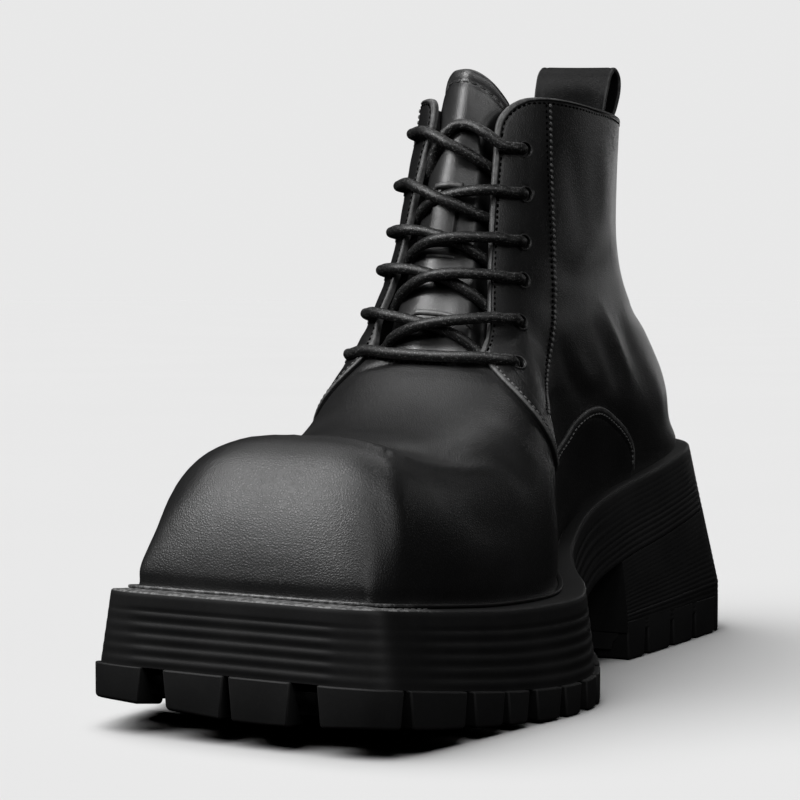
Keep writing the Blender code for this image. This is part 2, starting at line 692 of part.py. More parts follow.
def wing_patch(name, side):
    """A slab along the vamp's wing, to be joined to the wall."""
    levels = 5
    edge = smooth_rows(WING, 13)
    foot = ledge_height(edge[:, 0]) + WING_FOOT
    rise = foot[:, None] + (edge[:, 1] - foot)[:, None] * np.linspace(0.0, 1.0, levels)
    height = rise.reshape(-1)
    along = np.repeat(edge[:, 0], levels)
    start = np.stack([shaft_middle(height), along, height], axis=1)
    reach = 90.0 if side == "medial" else -90.0
    middle = between(start, np.broadcast_to([reach, 0.0, 0.0], start.shape))
    normal = outward(middle)
    depth = 0.5 * WALL
    share = soft_step(along, *WING_FADE)[:, None]
    proud = WING_RISE * share - 0.5 * depth * (1.0 - share)
    points = np.concatenate([middle + proud * normal, middle - depth * normal])
    return make_object(name, place_points(points), slab_faces(len(edge), levels))


def slab_faces(columns, levels):
    """Faces of a slab between two open grids of the same size."""
    shift = columns * levels
    faces = []
    for i in range(columns - 1):
        for k in range(levels - 1):
            a, b, c, d = (i * levels + k, (i + 1) * levels + k,
                          (i + 1) * levels + k + 1, i * levels + k + 1)
            faces += [(a, b, c, d), (a + shift, d + shift, c + shift, b + shift)]
        for k in (0, levels - 1):
            a, b = i * levels + k, (i + 1) * levels + k
            faces.append((a, a + shift, b + shift, b))
    for k in range(levels - 1):
        for i in (0, columns - 1):
            a, b = i * levels + k, i * levels + k + 1
            faces.append((a, b, b + shift, a + shift))
    return faces


def front_point(out, height, lift=0.0):
    """A point on the shaft's front, out from its middle at a height, lifted off the surface."""
    out, height = np.broadcast_arrays(np.asarray(out, float), np.asarray(height, float))
    start = np.stack([shaft_middle(height) + out, np.full_like(height, 190.0), height], axis=-1)
    heading = np.broadcast_to(np.array([0.0, -110.0, 0.0]), start.shape)
    found = between(start, heading)
    return found + outward(found) * lift


def eyelet_places():
    """Centres of the eyelets on the outer form, each pair from the top: side, point, normal."""
    places = []
    for height, raise_lateral, out in EYELETS:
        for sign, lift in ((1.0, 0.0), (-1.0, raise_lateral)):
            point = front_point([sign * out], [height + lift])
            places.append((sign, point[0], outward(point)[0]))
    return places


def tube(name, path, radius, sides, finish=None):
    """A round tube along rows of across, along, height, with flat ends."""
    run = np.gradient(path, axis=0)
    run /= np.linalg.norm(run, axis=1)[:, None]
    guide = np.array([0.0, -0.5, 0.86])
    first = np.cross(run, guide)
    first /= np.linalg.norm(first, axis=1)[:, None]
    second = np.cross(run, first)
    points = []
    for centre, a, b in zip(path, first, second):
        for angle in np.linspace(0.0, 2 * np.pi, sides, endpoint=False):
            points.append(centre + radius * (np.cos(angle) * a + np.sin(angle) * b))
    faces = [tuple(range(sides)), tuple(range(len(points) - sides, len(points)))]
    for ring in range(len(path) - 1):
        for side in range(sides):
            a = ring * sides + side
            b = ring * sides + (side + 1) % sides
            faces.append((a, b, b + sides, a + sides))
    return make_object(name, place_points(np.array(points)), faces, finish)


def build_upper(finish):
    """The hollow upper: outer and inner walls joined round the sole line and the opening."""
    rows = upper_rows(UPPER_STATIONS)
    even = np.linspace(0.0, 1.0, UPPER_LEVELS)
    shares = even * (1.0 - LOW_CROWD * (1.0 - even))
    medial = upper_columns("medial", rows, shares)
    lateral = upper_columns("lateral", rows, shares)[::-1][1:-1]
    rise = quarter_rise(rows, shares)
    rise = np.concatenate([rise, rise[::-1][1:-1]])[..., None]
    form = np.concatenate([medial, lateral])
    normal = outward(form.reshape(-1, 3)).reshape(form.shape)
    normal[:, 0, 2] = 0.0
    normal[:, 0] /= np.linalg.norm(normal[:, 0], axis=1)[:, None]
    outer = form + rise * normal
    inner = form - WALL * normal
    points = np.concatenate([outer.reshape(-1, 3), inner.reshape(-1, 3)])
    made = make_object("upper", place_points(points), band_faces(*form.shape[:2]), finish)
    combine(made, [wing_patch(f"wing_{side}", side) for side in ("medial", "lateral")], "UNION")
    cutters = []
    for number, (_, point, normal) in enumerate(eyelet_places()):
        path = point + normal * np.array([[-6.0], [6.0]])
        cutters.append(tube(f"eyelet_{number}", path, 0.5 * EYELET_DIAMETER, EYELET_SIDES))
    combine(made, cutters)
    return made


def build_welt(finish):
    """The strip round the foot of the upper, which stands higher round the toe."""
    rows = upper_rows(UPPER_STATIONS)
    station = np.interp(rows, np.arange(len(SOLE_CURVE)), SOLE_CURVE[:, 0])
    toe = 1.0 - soft_step(station, *WELT_TOE_END)
    top = WELT_HEIGHT + (WELT_TOE_HEIGHT - WELT_HEIGHT) * toe
    section = (
        (WELT_CLEARANCE, SEAT_GAP), (WELT_WIDTH, SEAT_GAP),
        (WELT_WIDTH - 0.3, SEAT_GAP + top), (WELT_CLEARANCE + 0.4, SEAT_GAP + top),
    )
    points = []
    for outset, lift in section:
        lines = {side: moved_line(line, side, outset) for side, line in SOLE_LINE.items()}
        medial, lateral = resting_level(lines, lift, rows)
        points.append(np.concatenate([medial, lateral[::-1][1:-1]]))
    size = len(points[0])
    faces = []
    for i in range(size):
        j = (i + 1) % size
        for k in range(4):
            m = (k + 1) % 4
            faces.append((k * size + i, k * size + j, m * size + j, m * size + i))
    return make_object("welt", np.concatenate(points), faces, finish)


def build_insole(finish):
    """The insole that the foot stands on."""
    rows = upper_rows(STATIONS)
    edge = WALL + INSOLE_CLEARANCE
    top = SEAT_GAP + INSOLE_HEIGHT
    section = ((edge + 0.6, top), (edge, top - 0.6), (edge, SEAT_GAP))
    levels = [resting_level(inset_lines(inset), lift, rows) for inset, lift in section]
    return layer_solid("insole", levels, finish)


def build_tongue(finish):
    """The tongue, from under the vamp's edge up past the collar."""
    columns = 9
    levels = 12
    line = smooth_rows(TONGUE, 200)
    travelled = np.linspace(0.0, 1.0, len(line))
    across = np.linspace(-1.0, 1.0, columns)
    rough = []
    for t in across:
        share = np.linspace(0.0, 1.0 - TONGUE_CROWN * t * t, levels)
        along, height, middle, half = (np.interp(share, travelled, line[:, i]) for i in range(4))
        rough.append(np.stack([middle + t * half, along, height], axis=1))
    surface = onto_surface(np.concatenate(rough))
    normal = outward(surface)
    points = np.concatenate([surface - TONGUE_DEPTH * normal,
                             surface - (TONGUE_DEPTH + TONGUE_THICKNESS) * normal])
    return make_object("tongue", place_points(points), slab_faces(columns, levels), finish)


def back_along(across, height):
    """Where the back of the shaft is, at a distance across and at heights up to the collar."""
    height = np.minimum(height, COLLAR_BACK)
    start = np.stack([np.full_like(height, across), np.full_like(height, 200.0), height], axis=1)
    return between(start, np.broadcast_to([0.0, 90.0, 0.0], start.shape))[:, 1]


def build_pull_loop(finish):
    """The folded strap that stands over the back of the collar."""
    columns = 7
    path = smooth_rows(LOOP, 15)
    run = np.gradient(path[:, :2], axis=0)
    run /= np.linalg.norm(run, axis=1)[:, None]
    side = np.stack([run[:, 1], -run[:, 0]], axis=1) * 0.5 * LOOP_STRAP
    middle = shaft_middle(195.0) + LOOP_SHIFT
    sheets = []
    for sign in (1.0, -1.0):
        sheet = []
        for out in np.linspace(-0.5, 0.5, columns) * LOOP_WIDTH:
            height = path[:, 1] + sign * side[:, 1]
            across = middle + out
            bend = back_along(across, height) - back_along(middle, height)
            slope = back_along(across + 0.5, height) - back_along(across - 0.5, height)
            stretch = 1.0 + (np.hypot(1.0, slope) - 1.0) * path[:, 2]
            off = (path[:, 0] - 0.5 * WALL + sign * side[:, 0]) * stretch
            along = back_along(middle, height) + bend * path[:, 2] + off
            sheet.append(np.stack([np.full_like(height, across), along, height], axis=1))
        sheets.append(np.concatenate(sheet))
    points = place_points(np.concatenate(sheets))
    return make_object("pull_loop", points, slab_faces(columns, len(path)), finish)


def throat_edge(sign, height):
    """Distance from the shaft's middle out to the edge of a facing."""
    column = OPENING_CURVE[:, 1 if sign > 0 else 2]
    return np.interp(height, OPENING_CURVE[:250, 3], column[:250])


def lace_strand(name, sign, low, high, finish=None):
    """A strand from under one facing's edge at a low eyelet to the next higher eyelet opposite."""
    radius = 0.5 * LACE_DIAMETER
    over = QUARTER_STEP + radius + 0.6
    low_height = low[0] + (low[1] if sign > 0 else 0.0)
    high_height = high[0] + (high[1] if sign < 0 else 0.0)
    start = -sign * (throat_edge(-sign, low_height) - radius - 1.0)
    edge = sign * throat_edge(sign, high_height)
    out = np.array([start, 0.3 * start, 0.75 * edge, edge + sign * 1.5, sign * (high[2] - 1.0)])
    height = np.interp(sign * out, (-low[2], high[2]), (low_height, high_height))
    lift = np.array([radius + 1.0 - TONGUE_DEPTH, 1.0, over - 0.8, over, over - 0.2])
    points = np.concatenate([front_point([o], [h], up) for o, h, up in zip(out, height, lift)])
    return tube(name, smooth_rows(points, 8, measured=3), radius, LACE_SIDES, finish)


def build_laces(finish):
    """The straight bar at the lowest eyelets and a crossing over each pair above."""
    radius = 0.5 * LACE_DIAMETER
    height, raise_lateral, out = EYELETS[-1]
    share = np.linspace(-1.0, 1.0, 9)
    bar_height = height + raise_lateral * 0.5 * (1.0 - share)
    bar = front_point(share * (out - 0.5), bar_height, QUARTER_STEP + radius + 0.6)
    tube("lace_bar", bar, radius, LACE_SIDES, finish)
    for number in range(len(EYELETS) - 1):
        high, low = EYELETS[number], EYELETS[number + 1]
        name = f"lace_cross_{number + 1}"
        made = lace_strand(name, 1.0, low, high, finish)
        combine(made, [lace_strand(f"{name}_other", -1.0, low, high)], "UNION")


def main():
    """Clears the scene and builds every piece of the boot."""
    for old in list(bpy.data.objects):
        bpy.data.objects.remove(old)
    leather = material("black_leather", (0.02, 0.02, 0.021), 0.42)
    build_midsole(material("platform_rubber", (0.03, 0.03, 0.031), 0.6))
    build_heel_block(material("heel_rubber", (0.03, 0.03, 0.031), 0.62))
    build_forefoot_tread(material("forefoot_rubber", (0.022, 0.022, 0.023), 0.7))
    build_heel_tread(material("heel_tread_rubber", (0.022, 0.022, 0.023), 0.7))
    build_welt(material("welt_rubber", (0.035, 0.035, 0.036), 0.5))
    build_upper(leather)
    build_insole(material("insole_leather", (0.03, 0.028, 0.027), 0.6))
    build_tongue(material("tongue_leather", (0.02, 0.02, 0.021), 0.4))
    build_pull_loop(material("loop_leather", (0.02, 0.02, 0.021), 0.45))
    build_laces(material("waxed_lace", (0.018, 0.018, 0.019), 0.5))


main()
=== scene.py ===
"""Looks of a right-foot platform ankle boot: square toe, open lacing, ribbed platform, block heel.

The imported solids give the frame. Every surface is made again here at full fineness from the
boot's own sizes, in millimetres: "along" runs from the toe (0) to the heel, "across" is
positive towards the medial side, and heights are above the floor. Points are rows of across,
along, height unless a docstring says otherwise. Form.place turns them into the frame's metres.
"""

import logging
from dataclasses import dataclass, field
from enum import Enum
from typing import Callable, Iterable, Sequence

import bmesh
import bpy
import numpy as np
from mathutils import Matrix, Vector


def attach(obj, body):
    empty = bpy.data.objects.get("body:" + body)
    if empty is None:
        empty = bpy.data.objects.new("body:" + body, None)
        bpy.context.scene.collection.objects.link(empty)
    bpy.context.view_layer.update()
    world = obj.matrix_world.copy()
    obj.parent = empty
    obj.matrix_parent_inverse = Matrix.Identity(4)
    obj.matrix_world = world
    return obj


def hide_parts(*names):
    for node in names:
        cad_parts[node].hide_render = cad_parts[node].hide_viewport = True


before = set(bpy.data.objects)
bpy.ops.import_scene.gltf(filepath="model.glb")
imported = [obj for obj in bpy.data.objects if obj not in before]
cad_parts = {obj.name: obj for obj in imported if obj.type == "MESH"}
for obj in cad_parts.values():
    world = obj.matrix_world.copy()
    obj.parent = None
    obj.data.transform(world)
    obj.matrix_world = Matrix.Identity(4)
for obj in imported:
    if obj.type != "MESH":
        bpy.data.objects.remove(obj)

Array = np.ndarray
Values = float | np.ndarray
Triple = tuple[float, float, float]
Faces = list[tuple[int, ...]]
Piece = bpy.types.Object
Material = bpy.types.Material

LOG = logging.getLogger("boot")
BODY = "root"
MILLIMETRE = 0.001
CURVE_ROWS = 800


# Curves

def sampled(rows: Array, measure: Array, wanted: Array) -> Array:
    """Rows of a table at wanted values of its measure."""
    return np.stack([np.interp(wanted, measure, column) for column in rows.T], axis=-1)


def curve_through(points: Array, count: int, measured: int) -> Array:
    """A centripetal Catmull-Rom curve.

    Args:
        points: the rows of numbers that it goes through.
        count: how many rows the curve gets.
        measured: how many of a row's first numbers set the curve's pace.

    Returns:
        The curve's rows, not yet evenly spaced.
    """
    step = np.sqrt(np.linalg.norm(np.diff(points[:, :measured], axis=0), axis=1)) + 1e-9
    knot = np.concatenate([[0.0], np.cumsum(step)])
    padded = np.vstack([2 * points[0] - points[1], points, 2 * points[-1] - points[-2]])
    knots = np.concatenate([[-step[0]], knot, [knot[-1] + step[-1]]])
    where = np.linspace(0.0, knot[-1], count)
    index = np.clip(np.searchsorted(knot, where, side="right") - 1, 0, len(points) - 2)
    where = where[:, None]
    t = [knots[index + i][:, None] for i in range(4)]
    rows = [padded[index + i] for i in range(4)]
    for spans in (((0, 1), (1, 2), (2, 3)), ((0, 2), (1, 3)), ((1, 2),)):
        rows = [((t[b] - where) * rows[i] + (where - t[a]) * rows[i + 1]) / (t[b] - t[a])
                for i, (a, b) in enumerate(spans)]
    return rows[0]


def progress(curve: Array, turn_weight: float = 0.0, measured: int = 2) -> Array:
    """Distance travelled along a curve, with its turning counted in.

    Args:
        curve: its rows.
        turn_weight: millimetres that count for each radian of turning.
        measured: how many of a row's first numbers are measured.

    Returns:
        The distance at each row.
    """
    step = np.diff(curve[:, :measured], axis=0)
    length = np.linalg.norm(step, axis=1)
    heading = step / np.maximum(length, 1e-9)[:, None]
    turn = np.arccos(np.clip(np.sum(heading[1:] * heading[:-1], axis=1), -1.0, 1.0))
    length[1:] += turn_weight * turn
    return np.concatenate([[0.0], np.cumsum(length)])


def spaced(curve: Array, count: int, turn_weight: float = 0.0, measured: int = 2) -> Array:
    """The curve as count rows, spaced evenly by its progress."""
    travelled = progress(curve, turn_weight, measured)
    return sampled(curve, travelled, np.linspace(0.0, travelled[-1], count))


def smooth_rows(rows: Iterable, count: int, measured: int = 2) -> Array:
    """A smooth curve through rows of numbers, as count rows spaced by its length."""
    curve = curve_through(np.array(rows, float), CURVE_ROWS, measured)
    return spaced(curve, count, measured=measured)


def soft_step(value: Values, low: float, high: float) -> Values:
    """0 below low, 1 above high, and a smooth rise between."""
    share = np.clip((value - low) / (high - low), 0.0, 1.0)
    return share * share * (3.0 - 2.0 * share)


def bump(value: Values, width: float) -> Values:
    """1 at zero, falling softly to nothing over about two widths."""
    return np.exp(-(value / width) ** 2)


def unit(rows: Array) -> Array:
    """Rows scaled to length 1."""
    return rows / np.maximum(np.linalg.norm(rows, axis=-1, keepdims=True), 1e-9)


class Side(Enum):
    """The two sides of the boot, each with its sign across."""

    MEDIAL = 1.0
    LATERAL = -1.0

    @property
    def column(self) -> int:
        """Where this side's width stands in a row of the sole's or the opening's table."""
        return 1 if self is Side.MEDIAL else 2

    @property
    def other(self) -> "Side":
        """The opposite side."""
        return Side.LATERAL if self is Side.MEDIAL else Side.MEDIAL


# Form of the boot

class Form:
    """The boot's outlines and its upper's outer form, worked out from tables of sections."""

    LENGTH = 309.0
    SEAT_GAP = 0.5
    WALL = 2.4
    LUG_HEIGHT = 10.0
    # along, medial, lateral, ledge, flare, inset
    SOLE = (
        (2.0, -1.5, -1.5, 43.6, 2.0, 8.6), (2.7, 20.0, -24.0, 43.5, 2.4, 8.2),
        (3.9, 35.0, -43.5, 43.4, 3.1, 7.8), (8.4, 43.4, -51.2, 43.0, 5.0, 7.4),
        (20.0, 47.4, -53.2, 41.6, 5.6, 7.2), (45.0, 51.9, -55.0, 38.7, 5.2, 7.8),
        (72.0, 56.6, -57.0, 36.2, 4.8, 8.6), (95.0, 60.4, -58.8, 35.6, 5.2, 9.2),
        (112.0, 60.0, -59.2, 35.9, 5.0, 9.4), (130.0, 52.6, -57.4, 37.4, 4.6, 9.0),
        (147.0, 41.0, -51.8, 40.6, 4.4, 8.0), (162.0, 33.6, -45.4, 46.0, 4.4, 7.2),
        (178.0, 31.6, -40.0, 54.8, 4.6, 7.0), (200.0, 32.6, -37.2, 61.6, 5.2, 7.2),
        (238.0, 33.6, -37.0, 67.6, 5.6, 7.6), (266.0, 32.2, -35.6, 72.0, 7.5, 8.0),
        (279.5, 27.6, -31.0, 74.0, 12.5, 8.0), (288.0, 17.0, -20.5, 75.0, 16.5, 8.0),
        (291.5, -1.7, -1.7, 75.3, 17.5, 8.0),
    )
    LEDGE, FLARE, INSET = 3, 4, 5
    PLATFORM_DEPTH = ((0.0, 22.6), (95.0, 25.6), (292.0, 25.2))
    TOE_SPRING = 11.0
    FLAT_START = 95.0
    FLAT_END = 131.0
    ARCH_SLOPE = 0.78
    FOREFOOT_END = 149.0
    HEEL_BREAST = 199.0
    HEEL_LEAN = 0.74
    # along, crest, square, lean
    FOOT = (
        (10.6, 46.4, 3.0, 0.04), (14.0, 57.0, 3.2, 0.06), (19.0, 68.0, 3.4, 0.06),
        (25.0, 77.5, 3.5, 0.05), (31.0, 84.8, 3.5, 0.04), (37.0, 88.3, 3.4, 0.04),
        (46.0, 89.2, 3.2, 0.04), (60.0, 87.6, 3.0, 0.04), (74.0, 88.6, 2.9, 0.03),
        (88.0, 92.2, 2.9, 0.02), (102.0, 98.4, 3.0, 0.0), (116.0, 108.0, 3.2, 0.0),
        (130.0, 120.0, 3.3, 0.0), (150.0, 134.0, 2.9, -0.02), (190.0, 128.0, 2.8, -0.06),
        (225.0, 106.0, 2.8, -0.08), (250.0, 88.0, 2.7, -0.04), (283.4, 79.0, 2.6, 0.0),
    )
    # height, middle, front, back, half, square, pinch behind, swell at the lateral front
    SHAFT = (
        (60.0, -1.8, 130.0, 281.5, 27.5, 3.0, -1.5, 0.0),
        (78.0, -1.8, 128.0, 284.0, 29.5, 2.9, -1.8, 1.2),
        (92.0, -2.1, 126.0, 284.0, 32.0, 2.8, -1.4, 3.2),
        (102.0, -2.5, 124.5, 280.0, 33.2, 2.8, 0.0, 4.0),
        (112.0, -2.9, 123.5, 273.0, 33.6, 2.75, 1.6, 4.5),
        (123.0, -3.4, 122.0, 264.5, 33.0, 2.7, 2.8, 4.8),
        (135.0, -3.8, 127.0, 256.0, 31.4, 2.6, 3.9, 4.0),
        (150.0, -4.4, 132.0, 250.5, 30.8, 2.35, 2.6, 2.6),
        (175.0, -4.9, 139.8, 249.5, 30.7, 2.2, 1.1, 1.6),
        (200.0, -4.4, 147.5, 251.0, 31.3, 2.1, 1.7, 0.2),
        (230.0, -4.4, 156.0, 253.0, 32.5, 2.1, 1.8, 0.2),
    )
    TOE_BULGE = (1.0, 24.0, 24.0)
    LATERAL_RISE = 3.4
    BLEND = 5.0
    # along, height
    SPINE = (
        (20.0, 50.0), (60.0, 54.0), (105.0, 60.0), (150.0, 78.0),
        (182.0, 106.0), (194.0, 145.0), (199.0, 235.0),
    )
    # share of the way, along, medial, lateral, height
    OPENING = (
        (0.00, 119.0, 0.0, 0.0, 107.0), (0.10, 120.5, 12.0, 12.0, 108.0),
        (0.17, 123.0, 19.5, 19.5, 110.5), (0.22, 128.5, 20.0, 19.5, 118.0),
        (0.35, 137.0, 17.8, 15.8, 145.0), (0.50, 149.0, 14.8, 11.0, 178.0),
        (0.57, 154.5, 13.8, 9.6, 193.0), (0.62, 160.5, 18.5, 14.5, 199.5),
        (0.75, 196.0, 32.0, 32.0, 198.5), (0.90, 238.0, 22.0, 22.0, 196.5),
        (1.00, 252.0, 0.0, 0.0, 195.5),
    )
    CLIMB = (
        (0.0, 0.0), (0.13, 0.03), (0.40, 0.10), (0.53, 0.17), (0.60, 0.30), (0.69, 0.48),
        (0.74, 0.60), (0.82, 0.76), (0.92, 0.90), (1.0, 1.0),
    )
    QUARTER_STATION = 148.0
    QUARTER_FADE = 34.0
    REAR_BEND = (0.08, 0.08, 0.86)
    FRONT_BEND = (0.20, 0.90, -0.46)
    CORNER_WEIGHT = 24.0
    CORNER_ROWS = 6
    THROAT_ROWS = 250
    PROBE = 0.4
    HALVINGS = 26

    def __init__(self) -> None:
        """Works out the curves through the tables."""
        self.sole, self.foot, self.shaft, self.spine = (smooth_rows(table, count) for table, count in (
            (self.SOLE, 500), (self.FOOT, 300), (self.SHAFT, 200), (self.SPINE, 120)))
        self.opening = smooth_rows([row[1:] + row[:1] for row in self.OPENING], 400, measured=4)
        self.row = np.arange(len(self.sole))
        flare = self.sole[:, self.FLARE]
        widest = self.outline(Side.MEDIAL, flare)[:, 1].max()
        self.middle = 0.5 * (widest + self.outline(Side.LATERAL, flare)[:, 1].min())
        self.line = self.inset_lines(0.0)
        travelled = progress(self.line[Side.MEDIAL])
        self.line_share = travelled / travelled[-1]

    def place(self, points: Array) -> Array:
        """Points in boot millimetres as points of the frame in metres."""
        return (np.asarray(points, float) - (self.middle, self.LENGTH / 2, 0.0)) * MILLIMETRE

    def ledge(self, along: Array) -> Array:
        """Height of the platform's top edge."""
        return np.interp(along, self.sole[:, 0], self.sole[:, self.LEDGE])

    def tread(self, along: Array) -> Array:
        """Height of the tread: toe spring, a flat forefoot, and the start of the arch."""
        ahead = np.clip(1.0 - along / self.FLAT_START, 0.0, 1.0)
        return self.TOE_SPRING * ahead ** 1.6 + self.ARCH_SLOPE * np.maximum(along - self.FLAT_END, 0)

    def underside(self, along: Array) -> Array:
        """Height of the underside of the platform."""
        table = np.array(self.PLATFORM_DEPTH)
        return self.ledge(along) - np.interp(along, table[:, 0], table[:, 1])

    @staticmethod
    def moved_line(line: Array, side: Side, outset: Values) -> Array:
        """A line down one side of the boot, moved outwards.

        Args:
            line: rows of along, across.
            side: the side that it is on.
            outset: how far each row moves.

        Returns:
            The moved rows.
        """
        run = unit(np.gradient(line, axis=0))
        normal = np.stack([-run[:, 1], run[:, 0]], axis=1) * side.value
        normal[0] = (-1.0, 0.0)
        normal[-1] = (1.0, 0.0)
        return line + normal * np.reshape(outset, (-1, 1))

    def outline(self, side: Side, outset: Values) -> Array:
        """The platform's top edge on one side, moved outwards."""
        return self.moved_line(self.sole[:, [0, side.column]], side, outset)

    def inset_lines(self, extra: float) -> dict[Side, Array]:
        """A line inside the platform's edge on each side, with its corners rounded.

        Args:
            extra: how far inside the line where the upper meets the platform.

        Returns:
            Rows of along, across for each side.
        """
        inset = self.sole[:, self.INSET] + extra
        lines = []
        for side in Side:
            edge, moved = self.outline(side, 0.0), self.outline(side, -inset)
            apart = np.linalg.norm(moved[:, None, :] - edge[None, ::4, :], axis=2).min(axis=1)
            clear = np.where(apart > inset - 0.25)[0]
            lines.append(sampled(moved[clear], clear, self.row))
        medial, lateral = lines
        loop = np.concatenate([medial, lateral[::-1][1:-1]])
        reach = 3 * self.CORNER_ROWS
        weight = np.exp(-0.5 * (np.arange(-reach, reach + 1) / self.CORNER_ROWS) ** 2)
        weight /= weight.sum()
        wrapped = np.concatenate([loop[-reach:], loop, loop[:reach]])
        soft = np.stack([np.convolve(column, weight, mode="valid") for column in wrapped.T], axis=1)
        count = len(medial)
        back = np.concatenate([soft[:1], soft[count:][::-1], soft[count - 1:count]])
        return {Side.MEDIAL: soft[:count], Side.LATERAL: back}

    def foot_field(self, points: Array) -> Array:
        """How far points lie outside the foot of the upper.

        Args:
            points: the points.

        Returns:
            A distance for each, below 0 inside.
        """
        across, along, height = points.T
        medial, lateral = (np.interp(along, *self.line[side].T) for side in Side)
        crest, square, lean = sampled(self.foot[:, 1:], self.foot[:, 0], along).T
        base = self.ledge(along) + self.SEAT_GAP
        tall = np.maximum(crest - base, 0.5)
        rise = np.maximum((height - base) / tall, 0.0)
        half = np.maximum(0.5 * (medial - lateral), 0.5) * (1.0 - lean * np.minimum(rise, 1.0))
        shift = np.abs(across - 0.5 * (medial + lateral)) / half
        inside = ((shift ** square + rise ** square) ** (1.0 / square) - 1.0)
        inside = inside * np.sqrt(half * tall)
        bulge, place, width = self.TOE_BULGE
        lateral_share = soft_step(-across, 5.0, 35.0) * soft_step(height - base, 1.0, 9.0)
        inside = inside - bulge * bump(along - place, width) * lateral_share
        ends = self.line[Side.MEDIAL][[0, -1], 0]
        beyond = np.maximum(ends[0] - along, along - ends[1])
        return np.where(beyond > 0.0, np.maximum(inside, beyond), inside)

    def shaft_field(self, points: Array) -> Array:
        """How far points lie outside the shaft.

        Args:
            points: the points.

        Returns:
            A distance for each, below 0 inside.
        """
        across, along, height = points.T
        table = sampled(self.shaft[:, 1:], self.shaft[:, 0], height)
        middle, front, back, half, square, pinch, swell = table.T
        half = half - pinch * soft_step(along, 175.0, 225.0)
        half = half + swell * (1.0 - soft_step(along, 150.0, 215.0)) * soft_step(middle - across, 2, 16)
        width = np.abs((across - middle) / half) ** square
        depth = np.abs((2.0 * along - front - back) / (back - front)) ** square
        return ((width + depth) ** (1.0 / square) - 1.0) * half

    def field(self, points: Array) -> Array:
        """How far points lie outside the upper's outer form: foot and shaft run together."""
        foot, shaft = self.foot_field(points), self.shaft_field(points)
        return np.minimum(foot, shaft) - self.BLEND * 0.5 * np.exp(-np.abs(foot - shaft) / self.BLEND)

    def shaft_middle(self, height: Values) -> Values:
        """Middle of the shaft's width at a height."""
        return np.interp(height, self.shaft[:, 0], self.shaft[:, 1])

    def facing(self, side: Side, height: Values) -> Values:
        """Distance from the shaft's middle out to the edge of a facing, at a height."""
        throat = self.opening[:self.THROAT_ROWS]
        return np.interp(height, throat[:, 3], throat[:, side.column])

    def slope(self, points: Array) -> Array:
        """Slope of the field across, along and up at points."""
        pairs = [(points + step, points - step) for step in self.PROBE * np.eye(3)]
        return np.stack([self.field(high) - self.field(low) for high, low in pairs], 1) / (2.0 * self.PROBE)

    def outward(self, points: Array) -> Array:
        """Unit normals of the outer form."""
        return unit(self.slope(points))

    def settle(self, points: Array) -> Array:
        """Moves points near the outer form onto it, by the shortest way.

        Args:
            points: the points.

        Returns:
            The moved points.
        """
        for _ in range(4):
            slope = self.slope(points)
            size = np.maximum(np.sum(slope * slope, axis=1), 0.05)
            points = points - slope * np.clip(self.field(points) / size, -3.0, 3.0)[:, None]
        return points

    def between(self, start: Array, heading: Array) -> Array:
        """Where rays that start inside the outer form leave it, by halving.

        Args:
            start: their first points.
            heading: the way from there to their last points, which lie outside.

        Returns:
            The points where they leave it.
        """
        near, far = np.zeros(len(start)), np.ones(len(start))
        for _ in range(self.HALVINGS):
            probe = 0.5 * (near + far)
            outside = self.field(start + heading * probe[:, None]) > 0.0
            far = np.where(outside, probe, far)
            near = np.where(outside, near, probe)
        return start + heading * (0.5 * (near + far))[:, None]

    def onto_surface(self, points: Array) -> Array:
        """Moves rough points onto the outer form, away from the middle line.

        Args:
            points: the points.

        Returns:
            The moved points.
        """
        gap = np.sum((self.spine[None] - points[:, None, 1:]) ** 2, axis=2)
        softness = 60.0
        weight = np.exp(-(gap - gap.min(axis=1)[:, None]) / softness)
        weight /= weight.sum(axis=1)[:, None]
        along, height = (weight @ self.spine).T
        start = np.stack([self.shaft_middle(height), along, height], axis=1)
        return self.between(start, 3.0 * (points - start))

    def opening_point(self, side: Side, share: Array) -> Array:
        """Rough points on the edge of the throat and collar.

        Args:
            side: the side that they are on.
            share: how far round from the foot of the throat to the back each is, from 0 to 1.

        Returns:
            The points.
        """
        along, medial, lateral, height, _ = sampled(self.opening, self.opening[:, 4], share).T
        if side is Side.LATERAL:
            height = height + self.LATERAL_RISE * bump(share - 0.585, 0.035)
        out = side.value * (medial if side is Side.MEDIAL else lateral)
        return np.stack([self.shaft_middle(height) + out, along, height], axis=-1)

    def columns(self, side: Side, rows: Array, shares: Array) -> Array:
        """Points of the outer form in columns from the sole line up to the opening.

        Args:
            side: the side that they are on.
            rows: each column's place on the sole line.
            shares: how far up each level is, from 0 to 1, for all columns or for each.

        Returns:
            The points, columns x levels.
        """
        along, across = sampled(self.line[side], self.row, rows).T
        low = np.stack([across, along, self.ledge(along) + self.SEAT_GAP], axis=1)
        round_share = np.interp(np.interp(rows, self.row, self.line_share), *np.array(self.CLIMB).T)
        high = self.opening_point(side, round_share)
        early = np.exp(-((along - self.QUARTER_STATION) / self.QUARTER_FADE) ** 2)
        lift = low + (high - low) * (np.array(self.REAR_BEND) + np.outer(early, self.FRONT_BEND))
        share = np.broadcast_to(shares, (len(rows), np.shape(shares)[-1]))[..., None]
        rough = ((1 - share) ** 2 * low[:, None] + 2 * share * (1 - share) * lift[:, None]
                 + share ** 2 * high[:, None])
        surface = self.onto_surface(rough.reshape(-1, 3)).reshape(rough.shape)
        return np.where(share == 0.0, rough, surface)

